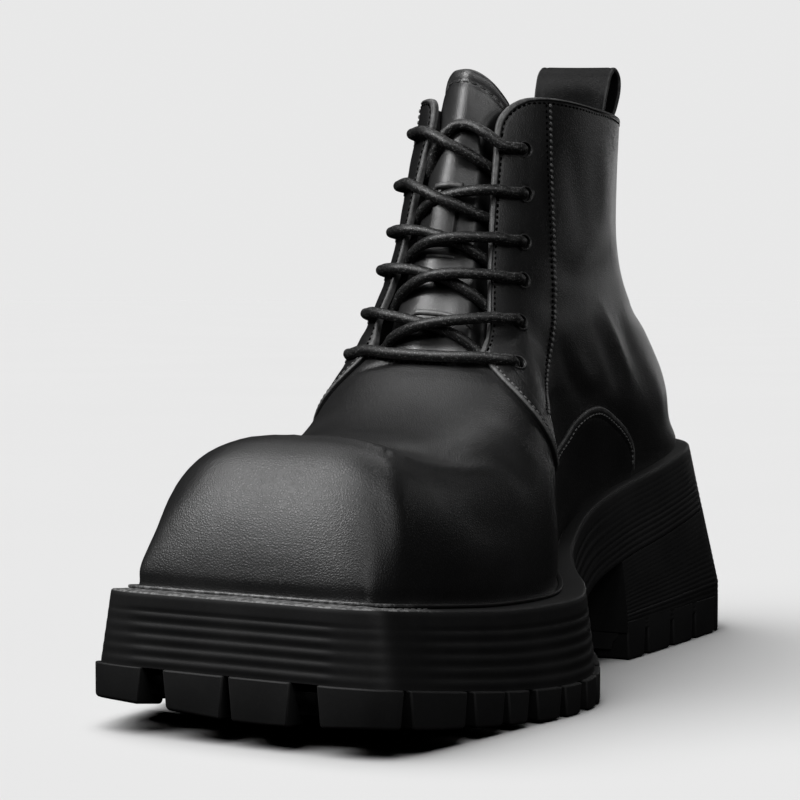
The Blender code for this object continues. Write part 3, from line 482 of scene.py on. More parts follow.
    def column_rows(self, count: int) -> Array:
        """Rows of the sole line for the upper's columns, closer where the edges turn.

        Args:
            count: how many.

        Returns:
            The rows, from toe to back.
        """
        share = np.interp(self.line_share, *np.array(self.CLIMB).T)
        edge = self.opening_point(Side.MEDIAL, share)
        line = np.column_stack([self.line[Side.MEDIAL], self.sole[:, self.LEDGE], edge, self.row])
        return spaced(line, count, self.CORNER_WEIGHT, measured=6)[:, 6]

    def front_points(self, rows: Iterable) -> Array:
        """Points on the shaft's front.

        Args:
            rows: distance from the shaft's middle, height, and lift off the leather.

        Returns:
            A point for each.
        """
        across, height, lift = np.array(rows, float).T
        start = np.stack([self.shaft_middle(height) + across, np.full_like(height, 190.0), height], -1)
        found = self.between(start, np.broadcast_to([0.0, -110.0, 0.0], start.shape))
        return found + self.outward(found) * lift[:, None]

    def mirrored(self, points: Array) -> Array:
        """Points of the medial side at the same place on the lateral side, on the outer form."""
        middle = self.shaft_middle(points[:, 2])
        return self.settle(np.column_stack([2.0 * middle - points[:, 0], points[:, 1:]]))


FORM = Form()


class SurfaceLine:
    """A smooth line on the upper's outer form, with its run, normal and side direction."""

    def __init__(self, points: Array, turn: float) -> None:
        """Lays the line.

        Args:
            points: points on the outer form.
            turn: 1 or -1, which way the side direction points.
        """
        self.points = points
        self.turn = turn
        self.normal = FORM.outward(points)
        self.run = unit(np.gradient(points, axis=0))
        self.side = unit(np.cross(self.normal, self.run)) * turn

    @classmethod
    def through(cls, rows: Iterable, side: Side, turn: float, count: int) -> "SurfaceLine":
        """A line through points given on the medial side, mirrored where the side is lateral.

        Args:
            rows: the points.
            side: the side that it is for.
            turn: which way the side direction points on the medial side.
            count: how many points the line gets.

        Returns:
            The line.
        """
        points = FORM.settle(smooth_rows(rows, count, measured=3))
        if side is Side.LATERAL:
            points = FORM.mirrored(points)
        return cls(spaced(points, count, measured=3), turn * side.value)

    def moved(self, distance: float, start: float = 0.0, end: float = 0.0) -> "SurfaceLine":
        """The line moved sideways over the leather, and trimmed.

        Args:
            distance: how far sideways.
            start: how much is cut off at its start.
            end: how much is cut off at its end.

        Returns:
            A new line.
        """
        points = FORM.settle(self.points + distance * self.side)
        travelled = progress(points, measured=3)
        wanted = np.linspace(start, travelled[-1] - end, len(points))
        return SurfaceLine(sampled(points, travelled, wanted), self.turn)


# Node trees and materials

class Wire:
    """A socket of a node tree, with arithmetic that adds the nodes it needs."""

    def __init__(self, tree: "Tree", socket: bpy.types.NodeSocket) -> None:
        """Keeps the socket and the tree it is in."""
        self.tree = tree
        self.socket = socket

    def _joined(self, operation: str, first: "Wire | float", second: "Wire | float") -> "Wire":
        """A Math node on two values."""
        return self.tree.wire("ShaderNodeMath", {"operation": operation}, {0: first, 1: second})

    def __add__(self, other: "Wire | float") -> "Wire":
        """Sum."""
        return self._joined("ADD", self, other)

    def __sub__(self, other: "Wire | float") -> "Wire":
        """Difference."""
        return self._joined("SUBTRACT", self, other)

    def __rsub__(self, other: "Wire | float") -> "Wire":
        """Difference from a number."""
        return self._joined("SUBTRACT", other, self)

    def __mul__(self, other: "Wire | float") -> "Wire":
        """Product."""
        return self._joined("MULTIPLY", self, other)

    __radd__ = __add__
    __rmul__ = __mul__

    def spread(self, low: float, high: float) -> "Wire":
        """The value from low to high, softly mapped to 0 to 1."""
        settings = {"interpolation_type": "SMOOTHSTEP"}
        return self.tree.wire("ShaderNodeMapRange", settings, {0: self, 1: low, 2: high})


class Tree:
    """A node tree under construction, of a material or of Geometry Nodes."""

    def __init__(self, tree: bpy.types.NodeTree) -> None:
        """Keeps the tree."""
        self.tree = tree

    def node(self, kind: str, settings: dict, values: dict) -> bpy.types.Node:
        """Adds a node.

        Args:
            kind: the node's type.
            settings: its own settings, set first.
            values: a number, colour, socket or Wire for each of its sockets, by index or name.

        Returns:
            The node.
        """
        made = self.tree.nodes.new(kind)
        for name, value in settings.items():
            setattr(made, name, value)
        for key, value in values.items():
            if isinstance(value, Wire):
                value = value.socket
            if isinstance(value, bpy.types.NodeSocket):
                self.tree.links.new(value, made.inputs[key])
            else:
                made.inputs[key].default_value = value
        return made

    def wire(self, kind: str, settings: dict, values: dict, output: int | str = 0) -> Wire:
        """Adds a node and gives one of its outputs."""
        return Wire(self, self.node(kind, settings, values).outputs[output])


class Paint(Tree):
    """A material under construction: one Principled surface and the nodes that vary it."""

    def __init__(self, name: str, roughness: float, gloss: float = 0.5) -> None:
        """Makes the material and sets what is the same all over on the surface's own sockets.

        Args:
            name: its name.
            roughness: the surface's roughness where nothing else feeds it.
            gloss: the surface's specular level.
        """
        self.material = bpy.data.materials.new(name)
        self.material.use_nodes = True
        super().__init__(self.material.node_tree)
        self.surface = self.tree.nodes["Principled BSDF"]
        self.surface.inputs["Roughness"].default_value = roughness
        self.surface.inputs["Specular IOR Level"].default_value = gloss
        self.object = self.wire("ShaderNodeTexCoord", {}, {}, "Object")

    def noise(self, size: float, detail: float = 2.0, roughness: float = 0.5, output: str = "Fac") -> Wire:
        """Soft noise with features about size millimetres across."""
        values = {"Vector": self.object, "Scale": 1.0 / (size * MILLIMETRE), "Detail": detail}
        return self.wire("ShaderNodeTexNoise", {}, {**values, "Roughness": roughness}, output)

    def vector(self, operation: str, values: dict) -> Wire:
        """A Vector Math node."""
        return self.wire("ShaderNodeVectorMath", {"operation": operation}, values)

    def cells(self, size: float, shake: float, amount: float) -> Wire:
        """Distance to the edges of uneven cells, 0 on the edges.

        Args:
            size: about how many millimetres a cell is across.
            shake: size of the noise that pushes the cells about.
            amount: how many millimetres it pushes them.

        Returns:
            The distance.
        """
        push = self.vector("SUBTRACT", {0: self.noise(shake, output="Color"), 1: (0.5, 0.5, 0.5)})
        push = self.vector("SCALE", {0: push, "Scale": amount * MILLIMETRE})
        values = {"Vector": self.vector("ADD", {0: self.object, 1: push}),
                  "Scale": 1.0 / (size * MILLIMETRE)}
        return self.wire("ShaderNodeTexVoronoi", {"feature": "DISTANCE_TO_EDGE"}, values)

    def attribute(self, name: str) -> Wire:
        """A value painted on the mesh."""
        return self.wire("ShaderNodeAttribute", {"attribute_name": name}, {}, "Fac")

    def mixed(self, share: Wire, low: Wire | Triple, high: Wire | Triple) -> Wire:
        """A colour between two."""
        first, last = (end if isinstance(end, Wire) else (*end, 1.0) for end in (low, high))
        return self.wire("ShaderNodeMix", {"data_type": "RGBA"}, {"Factor": share, 6: first, 7: last}, 2)

    def feed(self, socket: str, value: Wire) -> None:
        """Feeds one of the surface's sockets."""
        self.tree.links.new(value.socket, self.surface.inputs[socket])

    def relief(self, height: Wire, depth: float, strength: float = 0.8) -> None:
        """Feeds the surface's normal from a height, depth millimetres from 0 to 1."""
        values = {"Strength": strength, "Distance": depth * MILLIMETRE, "Height": height}
        self.feed("Normal", self.wire("ShaderNodeBump", {}, values, "Normal"))


def grey(tone: float) -> Triple:
    """An even grey."""
    return (tone, tone, tone)


@dataclass(frozen=True)
class Leather:
    """A semi-matte leather with a fine pebble grain, painted paler on the edges that the mesh marks."""

    name: str
    colour: Triple = (0.0035, 0.0035, 0.0037)
    # the paler colour mixed in on the edges that the mesh marks
    worn: Triple = grey(0.15)
    gloss: float = 0.5
    shine: float = 0.36
    grain: float = 0.85
    depth: float = 0.07

    def make(self) -> Material:
        """Builds the material.

        Returns:
            The material, which reads "wear_and_sheen" from the mesh for how much paler it is painted.
        """
        paint = Paint(self.name, self.shine, self.gloss)
        pebbles = paint.cells(self.grain, 2.2, 0.55).spread(0.0, 0.32)
        fine = paint.noise(0.32, 3.0, 0.6)
        soft = paint.noise(7.0, 3.0)
        broad = paint.noise(34.0, 2.0, 0.45)
        paint.relief(pebbles * 0.62 + fine * 0.38 + soft * 1.1 + broad * 2.4, self.depth, 0.9)
        patch = paint.noise(2.4, 4.0, 0.65).spread(0.35, 0.75)
        scuff_and_sheen = paint.attribute("wear_and_sheen") * (0.35 + patch * 0.65)
        tone = pebbles * 0.04 + broad.spread(0.3, 0.7) * 0.04 + scuff_and_sheen * 0.8
        paint.feed("Base Color", paint.mixed(tone, self.colour, self.worn))
        rough = self.shine + broad * 0.10 - 0.05 + (1.0 - pebbles) * 0.07 + fine * 0.05
        paint.feed("Roughness", rough + scuff_and_sheen * 0.08)
        return paint.material


@dataclass(frozen=True)
class Rubber:
    """A matte moulded rubber with a fine mould texture."""

    name: str
    colour: Triple = (0.0065, 0.0065, 0.0068)
    dusty: Triple = grey(0.018)
    scuff_and_sheen: Triple = grey(0.2)
    matt: float = 0.50
    gloss: float = 0.36
    depth: float = 0.05

    def make(self) -> Material:
        """Builds the material.

        Returns:
            The material, which reads "wear_and_sheen" from the mesh: paler for worn rubber and for painted
            highlights.
        """
        paint = Paint(self.name, self.matt, self.gloss)
        fine = paint.noise(0.45, 3.0, 0.6)
        speck = paint.noise(1.6, 4.0, 0.6)
        broad = paint.noise(22.0, 3.0)
        paint.relief(fine * 0.6 + speck * 0.5 + broad * 1.2, self.depth)
        wear_and_sheen = paint.attribute("wear_and_sheen")
        dust = speck.spread(0.45, 0.75) * 0.3 + broad.spread(0.35, 0.7) * 0.4
        plain = paint.mixed(dust * 0.6, self.colour, self.dusty)
        # Painted paler where the mesh marks it: real scuffs, and a painted highlight on the platform's top
        # and the welt's edge round the toe.
        scuff_and_sheen_share = wear_and_sheen * (0.25 + 0.75 * speck.spread(0.42, 0.62))
        paint.feed("Base Color", paint.mixed(scuff_and_sheen_share, plain, self.scuff_and_sheen))
        paint.feed("Roughness", self.matt + broad * 0.12 - 0.06 + fine * 0.08 - wear_and_sheen * 0.1)
        return paint.material


@dataclass(frozen=True)
class Thread:
    """A twisted, waxed sewing thread."""

    name: str
    colour: Triple = grey(0.004)
    pale: Triple = grey(0.03)
    matt: float = 0.5
    gloss: float = 0.5

    def make(self) -> Material:
        """Builds the material.

        Returns:
            The material.
        """
        paint = Paint(self.name, self.matt, self.gloss)
        strand = paint.noise(0.28, 2.0, 0.6)
        paint.relief(strand, 0.12)
        paint.feed("Base Color", paint.mixed(strand.spread(0.35, 0.7), self.colour, self.pale))
        paint.feed("Roughness", self.matt + strand * 0.15)
        return paint.material


@dataclass(frozen=True)
class Braid:
    """A round waxed lace, braided from fine strands."""

    name: str
    colour: Triple = grey(0.003)
    pale: Triple = grey(0.2)
    matt: float = 0.26

    def make(self) -> Material:
        """Builds the material.

        Returns:
            The material, which reads "weave" from the mesh.
        """
        paint = Paint(self.name, self.matt)
        weave = paint.attribute("weave")
        fibre = paint.noise(0.3, 3.0, 0.65)
        # Painted glints: pale flecks in the base colour on the crests of the braid's strands.
        painted_glint = paint.noise(0.45, 2.0, 0.6).spread(0.56, 0.64)
        paint.relief(weave * 0.3 + fibre * 0.5, 0.11)
        paint.feed("Base Color", paint.mixed(weave * weave * painted_glint, self.colour, self.pale))
        paint.feed("Roughness", self.matt + fibre * 0.16 + (1.0 - painted_glint) * 0.14)
        return paint.material


@dataclass(frozen=True)
class Lining:
    """A close-woven textile lining, or a plain insole board."""

    name: str
    colour: Triple = grey(0.006)
    pale: Triple = grey(0.02)
    matt: float = 0.78
    weave: float = 0.7

    def make(self) -> Material:
        """Builds the material.

        Returns:
            The material.
        """
        paint = Paint(self.name, self.matt)
        knots = paint.cells(self.weave, 1.5, 0.2).spread(0.0, 0.4)
        nap = paint.noise(0.4, 4.0, 0.7)
        paint.relief(knots * 0.7 + nap * 0.5, 0.1)
        paint.feed("Base Color", paint.mixed(knots * nap, self.colour, self.pale))
        paint.feed("Roughness", self.matt + nap * 0.12)
        return paint.material


# Meshes

def put(name: str, data: bpy.types.ID) -> Piece:
    """Puts a new object in the scene.

    Args:
        name: its name.
        data: its mesh, light or camera.

    Returns:
        The object.
    """
    made = bpy.data.objects.new(name, data)
    bpy.context.scene.collection.objects.link(made)
    return made


def ring_faces(count: int, size: int, closed: bool = False) -> Faces:
    """Faces between rings of points.

    Args:
        count: how many rings there are.
        size: how many points each has.
        closed: whether the last ring meets the first.

    Returns:
        Four corners for each face.
    """
    faces = []
    for ring in range(count if closed else count - 1):
        low, high = ring * size, (ring + 1) % count * size
        for i in range(size):
            after = (i + 1) % size
            faces.append((low + i, low + after, high + after, high + i))
    return faces


@dataclass
class Solid:
    """A closed piece of one material, whose edges of more than so many degrees look sharp."""

    name: str
    finish: Material
    sharp: float = 40.0

    def made(self, points: Array, faces: Faces) -> Piece:
        """The piece from its points, with its faces turned outwards.

        Args:
            points: its points.
            faces: corners of each face.

        Returns:
            The object, linked to the scene.
        """
        mesh = bpy.data.meshes.new(self.name)
        mesh.from_pydata(FORM.place(points).tolist(), [], faces)
        work = bmesh.new()
        work.from_mesh(mesh)
        bmesh.ops.delete(work, geom=[v for v in work.verts if not v.link_faces], context="VERTS")
        bmesh.ops.recalc_face_normals(work, faces=work.faces)
        work.to_mesh(mesh)
        work.free()
        mesh.materials.append(self.finish)
        mesh.shade_smooth()
        mesh.set_sharp_from_angle(angle=np.radians(self.sharp))
        return put(self.name, mesh)

    def rings(self, rings: Sequence[Array], closed: bool = False) -> Piece:
        """The piece through rings of points.

        Args:
            rings: the points of each ring.
            closed: whether the last ring meets the first. If not, each end gets one face.

        Returns:
            The object.
        """
        count, size = len(rings), len(rings[0])
        faces = ring_faces(count, size, closed)
        if not closed:
            faces += [tuple(range(size)), tuple(range(size * (count - 1), size * count))]
        return self.made(np.concatenate(rings), faces)

    def layers(self, levels: Sequence[Sequence[Array]]) -> Piece:
        """The piece from levels of matching points down both sides.

        Args:
            levels: the medial and the lateral row of each level, toe first.

        Returns:
            The object. Rows that meet at an end share that point, and a straight face closes others.
        """
        faces, loops, first = [], [], 0
        for number, (medial, lateral) in enumerate(levels):
            size = len(medial)
            right = list(range(first, first + size))
            left = list(range(first + size, first + 2 * size))
            first += 2 * size
            for end in (0, -1):
                if np.linalg.norm(medial[end] - lateral[end]) < 1e-3:
                    left[end] = right[end]
            loops.append(list(dict.fromkeys(right + left[::-1])))
            if number in (0, len(levels) - 1):
                corners = zip(right, right[1:], left[1:], left)
                faces += [tuple(dict.fromkeys(face)) for face in corners]
        for upper, lower in zip(loops, loops[1:]):
            faces += zip(upper, upper[1:] + upper[:1], lower[1:] + lower[:1], lower)
        return self.made(np.concatenate([row for level in levels for row in level]), faces)

    def slab(self, front: Array, back: Array) -> Piece:
        """The piece between two grids of points.

        Args:
            front: the outer grid, columns x levels.
            back: the inner grid, of the same size.

        Returns:
            The object.
        """
        shift = front.shape[0] * front.shape[1]
        number = np.arange(shift).reshape(front.shape[:2])
        corners = (number[:-1, :-1], number[1:, :-1], number[1:, 1:], number[:-1, 1:])
        sheet = np.stack([grid.ravel() for grid in corners], axis=1)
        faces = sheet.tolist() + (sheet[:, [0, 3, 2, 1]] + shift).tolist()
        rim = [*number[0], *number[1:, -1], *number[-1, :-1][::-1], *number[1:-1, 0][::-1]]
        rim = [int(i) for i in rim]
        faces += [(i, j, j + shift, i + shift) for i, j in zip(rim, rim[1:] + rim[:1])]
        return self.made(np.concatenate([front.reshape(-1, 3), back.reshape(-1, 3)]), faces)


def paint_on(piece: Piece, name: str, values: Array) -> None:
    """Stores a value for each point of the mesh, for its material to read."""
    layer = piece.data.attributes.new(name, "FLOAT", "POINT")
    layer.data.foreach_set("value", np.asarray(values, np.float32).ravel())


def resolved(piece: Piece) -> Piece:
    """Turns a piece with modifiers into a plain mesh.

    Args:
        piece: the piece, which is removed.

    Returns:
        A new piece of the same name.
    """
    name, old = piece.name, piece.data
    mesh = bpy.data.meshes.new_from_object(piece.evaluated_get(bpy.context.evaluated_depsgraph_get()))
    bpy.data.objects.remove(piece)
    bpy.data.meshes.remove(old)
    mesh.name = name
    return put(name, mesh)


def joined(pieces: Sequence[Piece], name: str) -> Piece:
    """Several meshes as one object.

    Args:
        pieces: the pieces, which are removed.
        name: the new piece's name.

    Returns:
        The new piece, with all their materials.
    """
    work = bmesh.new()
    finishes: list[Material] = []
    for piece in pieces:
        start = len(work.faces)
        finishes += [finish for finish in piece.data.materials if finish not in finishes]
        shift = [finishes.index(finish) for finish in piece.data.materials]
        work.from_mesh(piece.data)
        work.faces.ensure_lookup_table()
        for face in work.faces[start:]:
            face.material_index = shift[face.material_index]
        bpy.data.objects.remove(piece)
    mesh = bpy.data.meshes.new(name)
    work.to_mesh(mesh)
    work.free()
    for finish in finishes:
        mesh.materials.append(finish)
    return put(name, mesh)


def settle_piece(piece: Piece, slot: str, *nodes: str) -> None:
    """Sets a finished piece on the frame's body.

    Args:
        piece: the piece.
        slot: the record's material slot of the piece; not used.
        *nodes: the CAD nodes that it stands for, where it has any.
    """
    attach(piece, BODY)
    if nodes:
        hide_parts(*nodes)
    LOG.info("%s: %d faces", piece.name, len(piece.data.polygons))


class Repeat(Tree):
    """Geometry Nodes that set a small rounded block on every point of a mesh."""

    SIZES = ("Length", "Width", "Height")

    def __init__(self, name: str, rounded: bool = True) -> None:
        """Builds the tree.

        Args:
            name: its name.
            rounded: whether the block is a low ball, as a stitch is, or else a soft cube.
        """
        super().__init__(bpy.data.node_groups.new(name, "GeometryNodeTree"))
        face = self.tree.interface
        kinds = {"Geometry": "Geometry", **dict.fromkeys(self.SIZES, "Float"), "Finish": "Material"}
        self.keys = {
            key: face.new_socket(key, in_out="INPUT", socket_type=f"NodeSocket{kind}").identifier
            for key, kind in kinds.items()
        }
        face.new_socket("Geometry", in_out="OUTPUT", socket_type="NodeSocketGeometry")
        given = self.node("NodeGroupInput", {}, {}).outputs
        sizes = {index: given[size] for index, size in enumerate(self.SIZES)}
        scale = self.wire("ShaderNodeCombineXYZ", {}, sizes)
        block = self.wire("GeometryNodeTransform", {}, {"Geometry": self.block(rounded), "Scale": scale})
        values = {"Points": given["Geometry"], "Instance": block, "Rotation": self.turned()}
        placed = self.wire("GeometryNodeInstanceOnPoints", {}, values)
        real = self.wire("GeometryNodeRealizeInstances", {}, {0: placed})
        values = {"Geometry": real, "Material": given["Finish"]}
        self.node("NodeGroupOutput", {}, {0: self.wire("GeometryNodeSetMaterial", {}, values)})

    def block(self, rounded: bool) -> Wire:
        """The block that is repeated, 1 metre across.

        Args:
            rounded: whether it is a low ball or a soft cube.

        Returns:
            Its mesh.
        """
        if rounded:
            return self.wire("GeometryNodeMeshUVSphere", {}, {"Segments": 8, "Rings": 5, "Radius": 0.5})
        cube = self.wire("GeometryNodeMeshCube", {}, {"Size": (1.0, 1.0, 1.0)})
        values = {"Mesh": cube, "Level": 2, "Edge Crease": 0.8}
        return self.wire("GeometryNodeSubdivisionSurface", {}, values)

    def turned(self) -> Wire:
        """The turn of each block.

        Returns:
            A rotation that lays its length along "run" and its height along "up".
        """
        turn = None
        for name, axis, pivot in (("run", "X", "AUTO"), ("up", "Z", "X")):
            given = self.wire("GeometryNodeInputNamedAttribute", {"data_type": "FLOAT_VECTOR"},
                              {"Name": name}, "Attribute")
            values = {"Vector": given, "Rotation": turn} if turn else {"Vector": given}
            settings = {"axis": axis, "pivot_axis": pivot}
            turn = self.wire("FunctionNodeAlignRotationToVector", settings, values, "Rotation")
        return turn

    def place(self, name: str, points: Array, run: Array, up: Array,
              sizes: Sequence[float], finish: Material) -> Piece:
        """Sets a block on each point.

        Args:
            name: the piece's name.
            points: where the blocks go.
            run: which way each block's length points.
            up: which way each block's height points.
            sizes: length, width and height of a block in millimetres.
            finish: the blocks' material.

        Returns:
            The blocks as one plain mesh object.
        """
        mesh = bpy.data.meshes.new(name)
        mesh.from_pydata(FORM.place(points).tolist(), [], [])
        for key, rows in (("run", run), ("up", up)):
            layer = mesh.attributes.new(key, "FLOAT_VECTOR", "POINT")
            layer.data.foreach_set("vector", np.asarray(rows, np.float32).ravel())
        carrier = put(name, mesh)
        modifier = carrier.modifiers.new("repeat", "NODES")
        modifier.node_group = self.tree
        for size, value in zip(self.SIZES, sizes):
            modifier[self.keys[size]] = value * MILLIMETRE
        modifier[self.keys["Finish"]] = finish
        made = resolved(carrier)
        made.data.shade_smooth()
        return made


@dataclass
class Needle:
    """Sews rows of stitches of one size along lines."""

    finish: Material
    length: float = 2.5
    gap: float = 0.9
    width: float = 0.72
    height: float = 0.6
    tree: Repeat = field(default_factory=lambda: Repeat("stitch row"))

    def sew(self, name: str, path: Array, up: Array, sink: float, turn: float = 0.0) -> Piece:
        """Sews one row.

        Args:
            name: the row's name.
            path: points that the row follows.
            up: outward direction at each of them.
            sink: how deep the stitches sit.
            turn: degrees that each stitch is turned from the row's direction.

        Returns:
            The row as one mesh object.
        """
        travelled = progress(path, measured=3)
        count = max(1, int(travelled[-1] / (self.length + self.gap)))
        middle = (np.arange(count) + 0.5) * travelled[-1] / count
        run = unit(np.gradient(path, axis=0))
        spots, runs, ups = (sampled(rows, travelled, middle) for rows in (path, run, up))
        spots = spots + unit(ups) * (0.5 * self.height - sink)
        runs = runs + np.cross(ups, runs) * np.tan(np.radians(turn))
        sizes = (self.length, self.width, self.height)
        return self.tree.place(name, spots, runs, ups, sizes, self.finish)


# Sole

@dataclass
class Sole:
    """The ribbed platform and the block heel under its back."""

    finish: Material
    stations: int = 150
    heel_stations: int = 70
    levels: int = 70
    heel_levels: int = 100
    edge_round: float = 0.8
    toe_round: float = 0.75
    side_start: float = 0.078
    wave: float = 0.3
    plain_band: float = 0.24
    ribs: int = 5
    fine_ribs: int = 12
    heel_ribs: int = 19
    sharp: float = 35.0
    # inset and drop of the levels round the platform's top edge, in parts of its rounding
    edge_section: tuple = ((4.6, 0.0), (1.6, 0.0), (1.0, 0.03), (0.55, 0.18), (0.25, 0.42), (0.06, 0.72))

    def level(self, height: Callable[[Array], Array], extra: Values, heel: bool = False) -> list[Array]:
        """A level of the sole's side.

        Args:
            height: gives the level's height at stations.
            extra: distance out from the plain side, for each row of the sole's curve.
            heel: whether the level is the heel's, or else the platform's.

        Returns:
            Points down the medial and the lateral side.
        """
        sole = FORM.sole
        station, ledge = sole[:, 0], sole[:, FORM.LEDGE]
        rear = soft_step(station, FORM.FOREFOOT_END, FORM.HEEL_BREAST)
        tread = FORM.tread(np.minimum(station, FORM.FLAT_END))
        drop = (ledge - height(station)) / (ledge - tread)
        lean = np.clip(drop / (1.0 + rear * (FORM.HEEL_LEAN - 1.0)), 0.0, 1.0)
        sides = [FORM.outline(side, sole[:, FORM.FLARE] * lean + extra) for side in Side]
        table = np.column_stack([station, 0.5 * (sole[:, 1] - sole[:, 2]), ledge, *sides])
        table = table[station >= (FORM.HEEL_BREAST if heel else 0.0)]
        count = self.heel_stations if heel else self.stations
        picked = spaced(table, count, FORM.CORNER_WEIGHT, measured=3)
        high = height(picked[:, 0])
        return [np.column_stack([picked[:, i + 1], picked[:, i], high]) for i in (3, 5)]

    def rounding(self, along: Array) -> Array:
        """How round the platform's top edge is."""
        return self.edge_round + (self.toe_round - self.edge_round) * (1.0 - soft_step(along, 12.0, 60.0))

    def front_wave(self, share: float) -> float:
        """How far the front's side stands out: a plain band, then soft ribs.

        Args:
            share: how far down the side, from 0 to 1.

        Returns:
            The distance, 0 or less.
        """
        below = share - self.plain_band
        if below < 0.0:
            return -0.2 * bump(below * 25.0, 0.8)
        phase = below / (1.0 - self.plain_band) * self.ribs % 1.0
        return (0.5 - 0.5 * np.cos(2.0 * np.pi * phase ** 0.8) - 1.0) * self.wave

    @staticmethod
    def fine_wave(share: float, ribs: int) -> float:
        """How far the fine ribs of the heel and of the platform's back stand out, 0 or less."""
        depth = 0.05 + 0.15 * soft_step(share, 0.3, 0.8)
        return depth * (abs(np.sin(np.pi * share * ribs)) ** 0.6 - 1.0)

    def build_platform(self) -> Piece:
        """The platform under the whole foot: a plain band, ribs in front and fine ribs behind.

        Returns:
            The platform.
        """
        station = FORM.sole[:, 0]
        rear = soft_step(station, 152.0, 205.0)
        corner = 1.0 - 0.85 * bump(station - 14.0, 16.0) * (station > 3.2)
        corner = np.maximum(corner, 0.45 * soft_step(station, 30.0, 60.0))
        levels = []
        for inset, drop in self.edge_section:
            reach = inset * self.rounding(station) + 3.0 * (inset > 4.0)
            levels.append(self.level(lambda s, drop=drop: FORM.ledge(s) - drop * self.rounding(s), -reach))
        for share in np.linspace(self.side_start, 1.0, self.levels):
            extra = self.front_wave(share) * (1.0 - rear) * corner
            extra = extra + self.fine_wave(share, self.fine_ribs) * rear
            levels.append(self.level(
                lambda s, share=share: FORM.ledge(s) + (FORM.underside(s) - FORM.ledge(s)) * share, extra))
        return Solid("platform", self.finish, self.sharp).layers(levels)

    def build_heel(self) -> Piece:
        """The block heel, ribbed like the platform's back.

        Returns:
            The heel.
        """
        foot = FORM.LUG_HEIGHT + 0.1
        levels = [
            self.level(lambda s, share=share: (FORM.underside(s) - 0.3) * (1.0 - share) + foot * share,
                       self.fine_wave(share, self.heel_ribs), heel=True)
            for share in np.linspace(0.0, 1.0, self.heel_levels)
        ]
        return Solid("heel", self.finish, self.sharp).layers(levels)

    def build(self) -> None:
        """Makes both pieces, with the platform's top round the toe painted paler: partly wear, partly a
        painted highlight of the light from above.
        """
        for piece, slot, node in ((self.build_platform(), "platform_rubber", "midsole"),
                                  (self.build_heel(), "heel_rubber", "heel_block")):
            points = np.array([v.co for v in piece.data.vertices]) / MILLIMETRE
            along = points[:, 1] + 0.5 * FORM.LENGTH
            # Painted highlight: the up-facing top of the platform round the toe is marked paler, partly as
            # wear and partly for the light from above.
            flat = points[:, 2] > FORM.ledge(along) - 0.35
            toe = 1.0 - soft_step(along, 12.0, 40.0)
            paint_on(piece, "wear_and_sheen", flat * toe * (node == "midsole"))
            settle_piece(piece, slot, node)


class Zone(Enum):
    """The two lugged layers, each with the CAD node that it stands for."""

    FOREFOOT = "forefoot_tread"
    HEEL = "heel_tread"


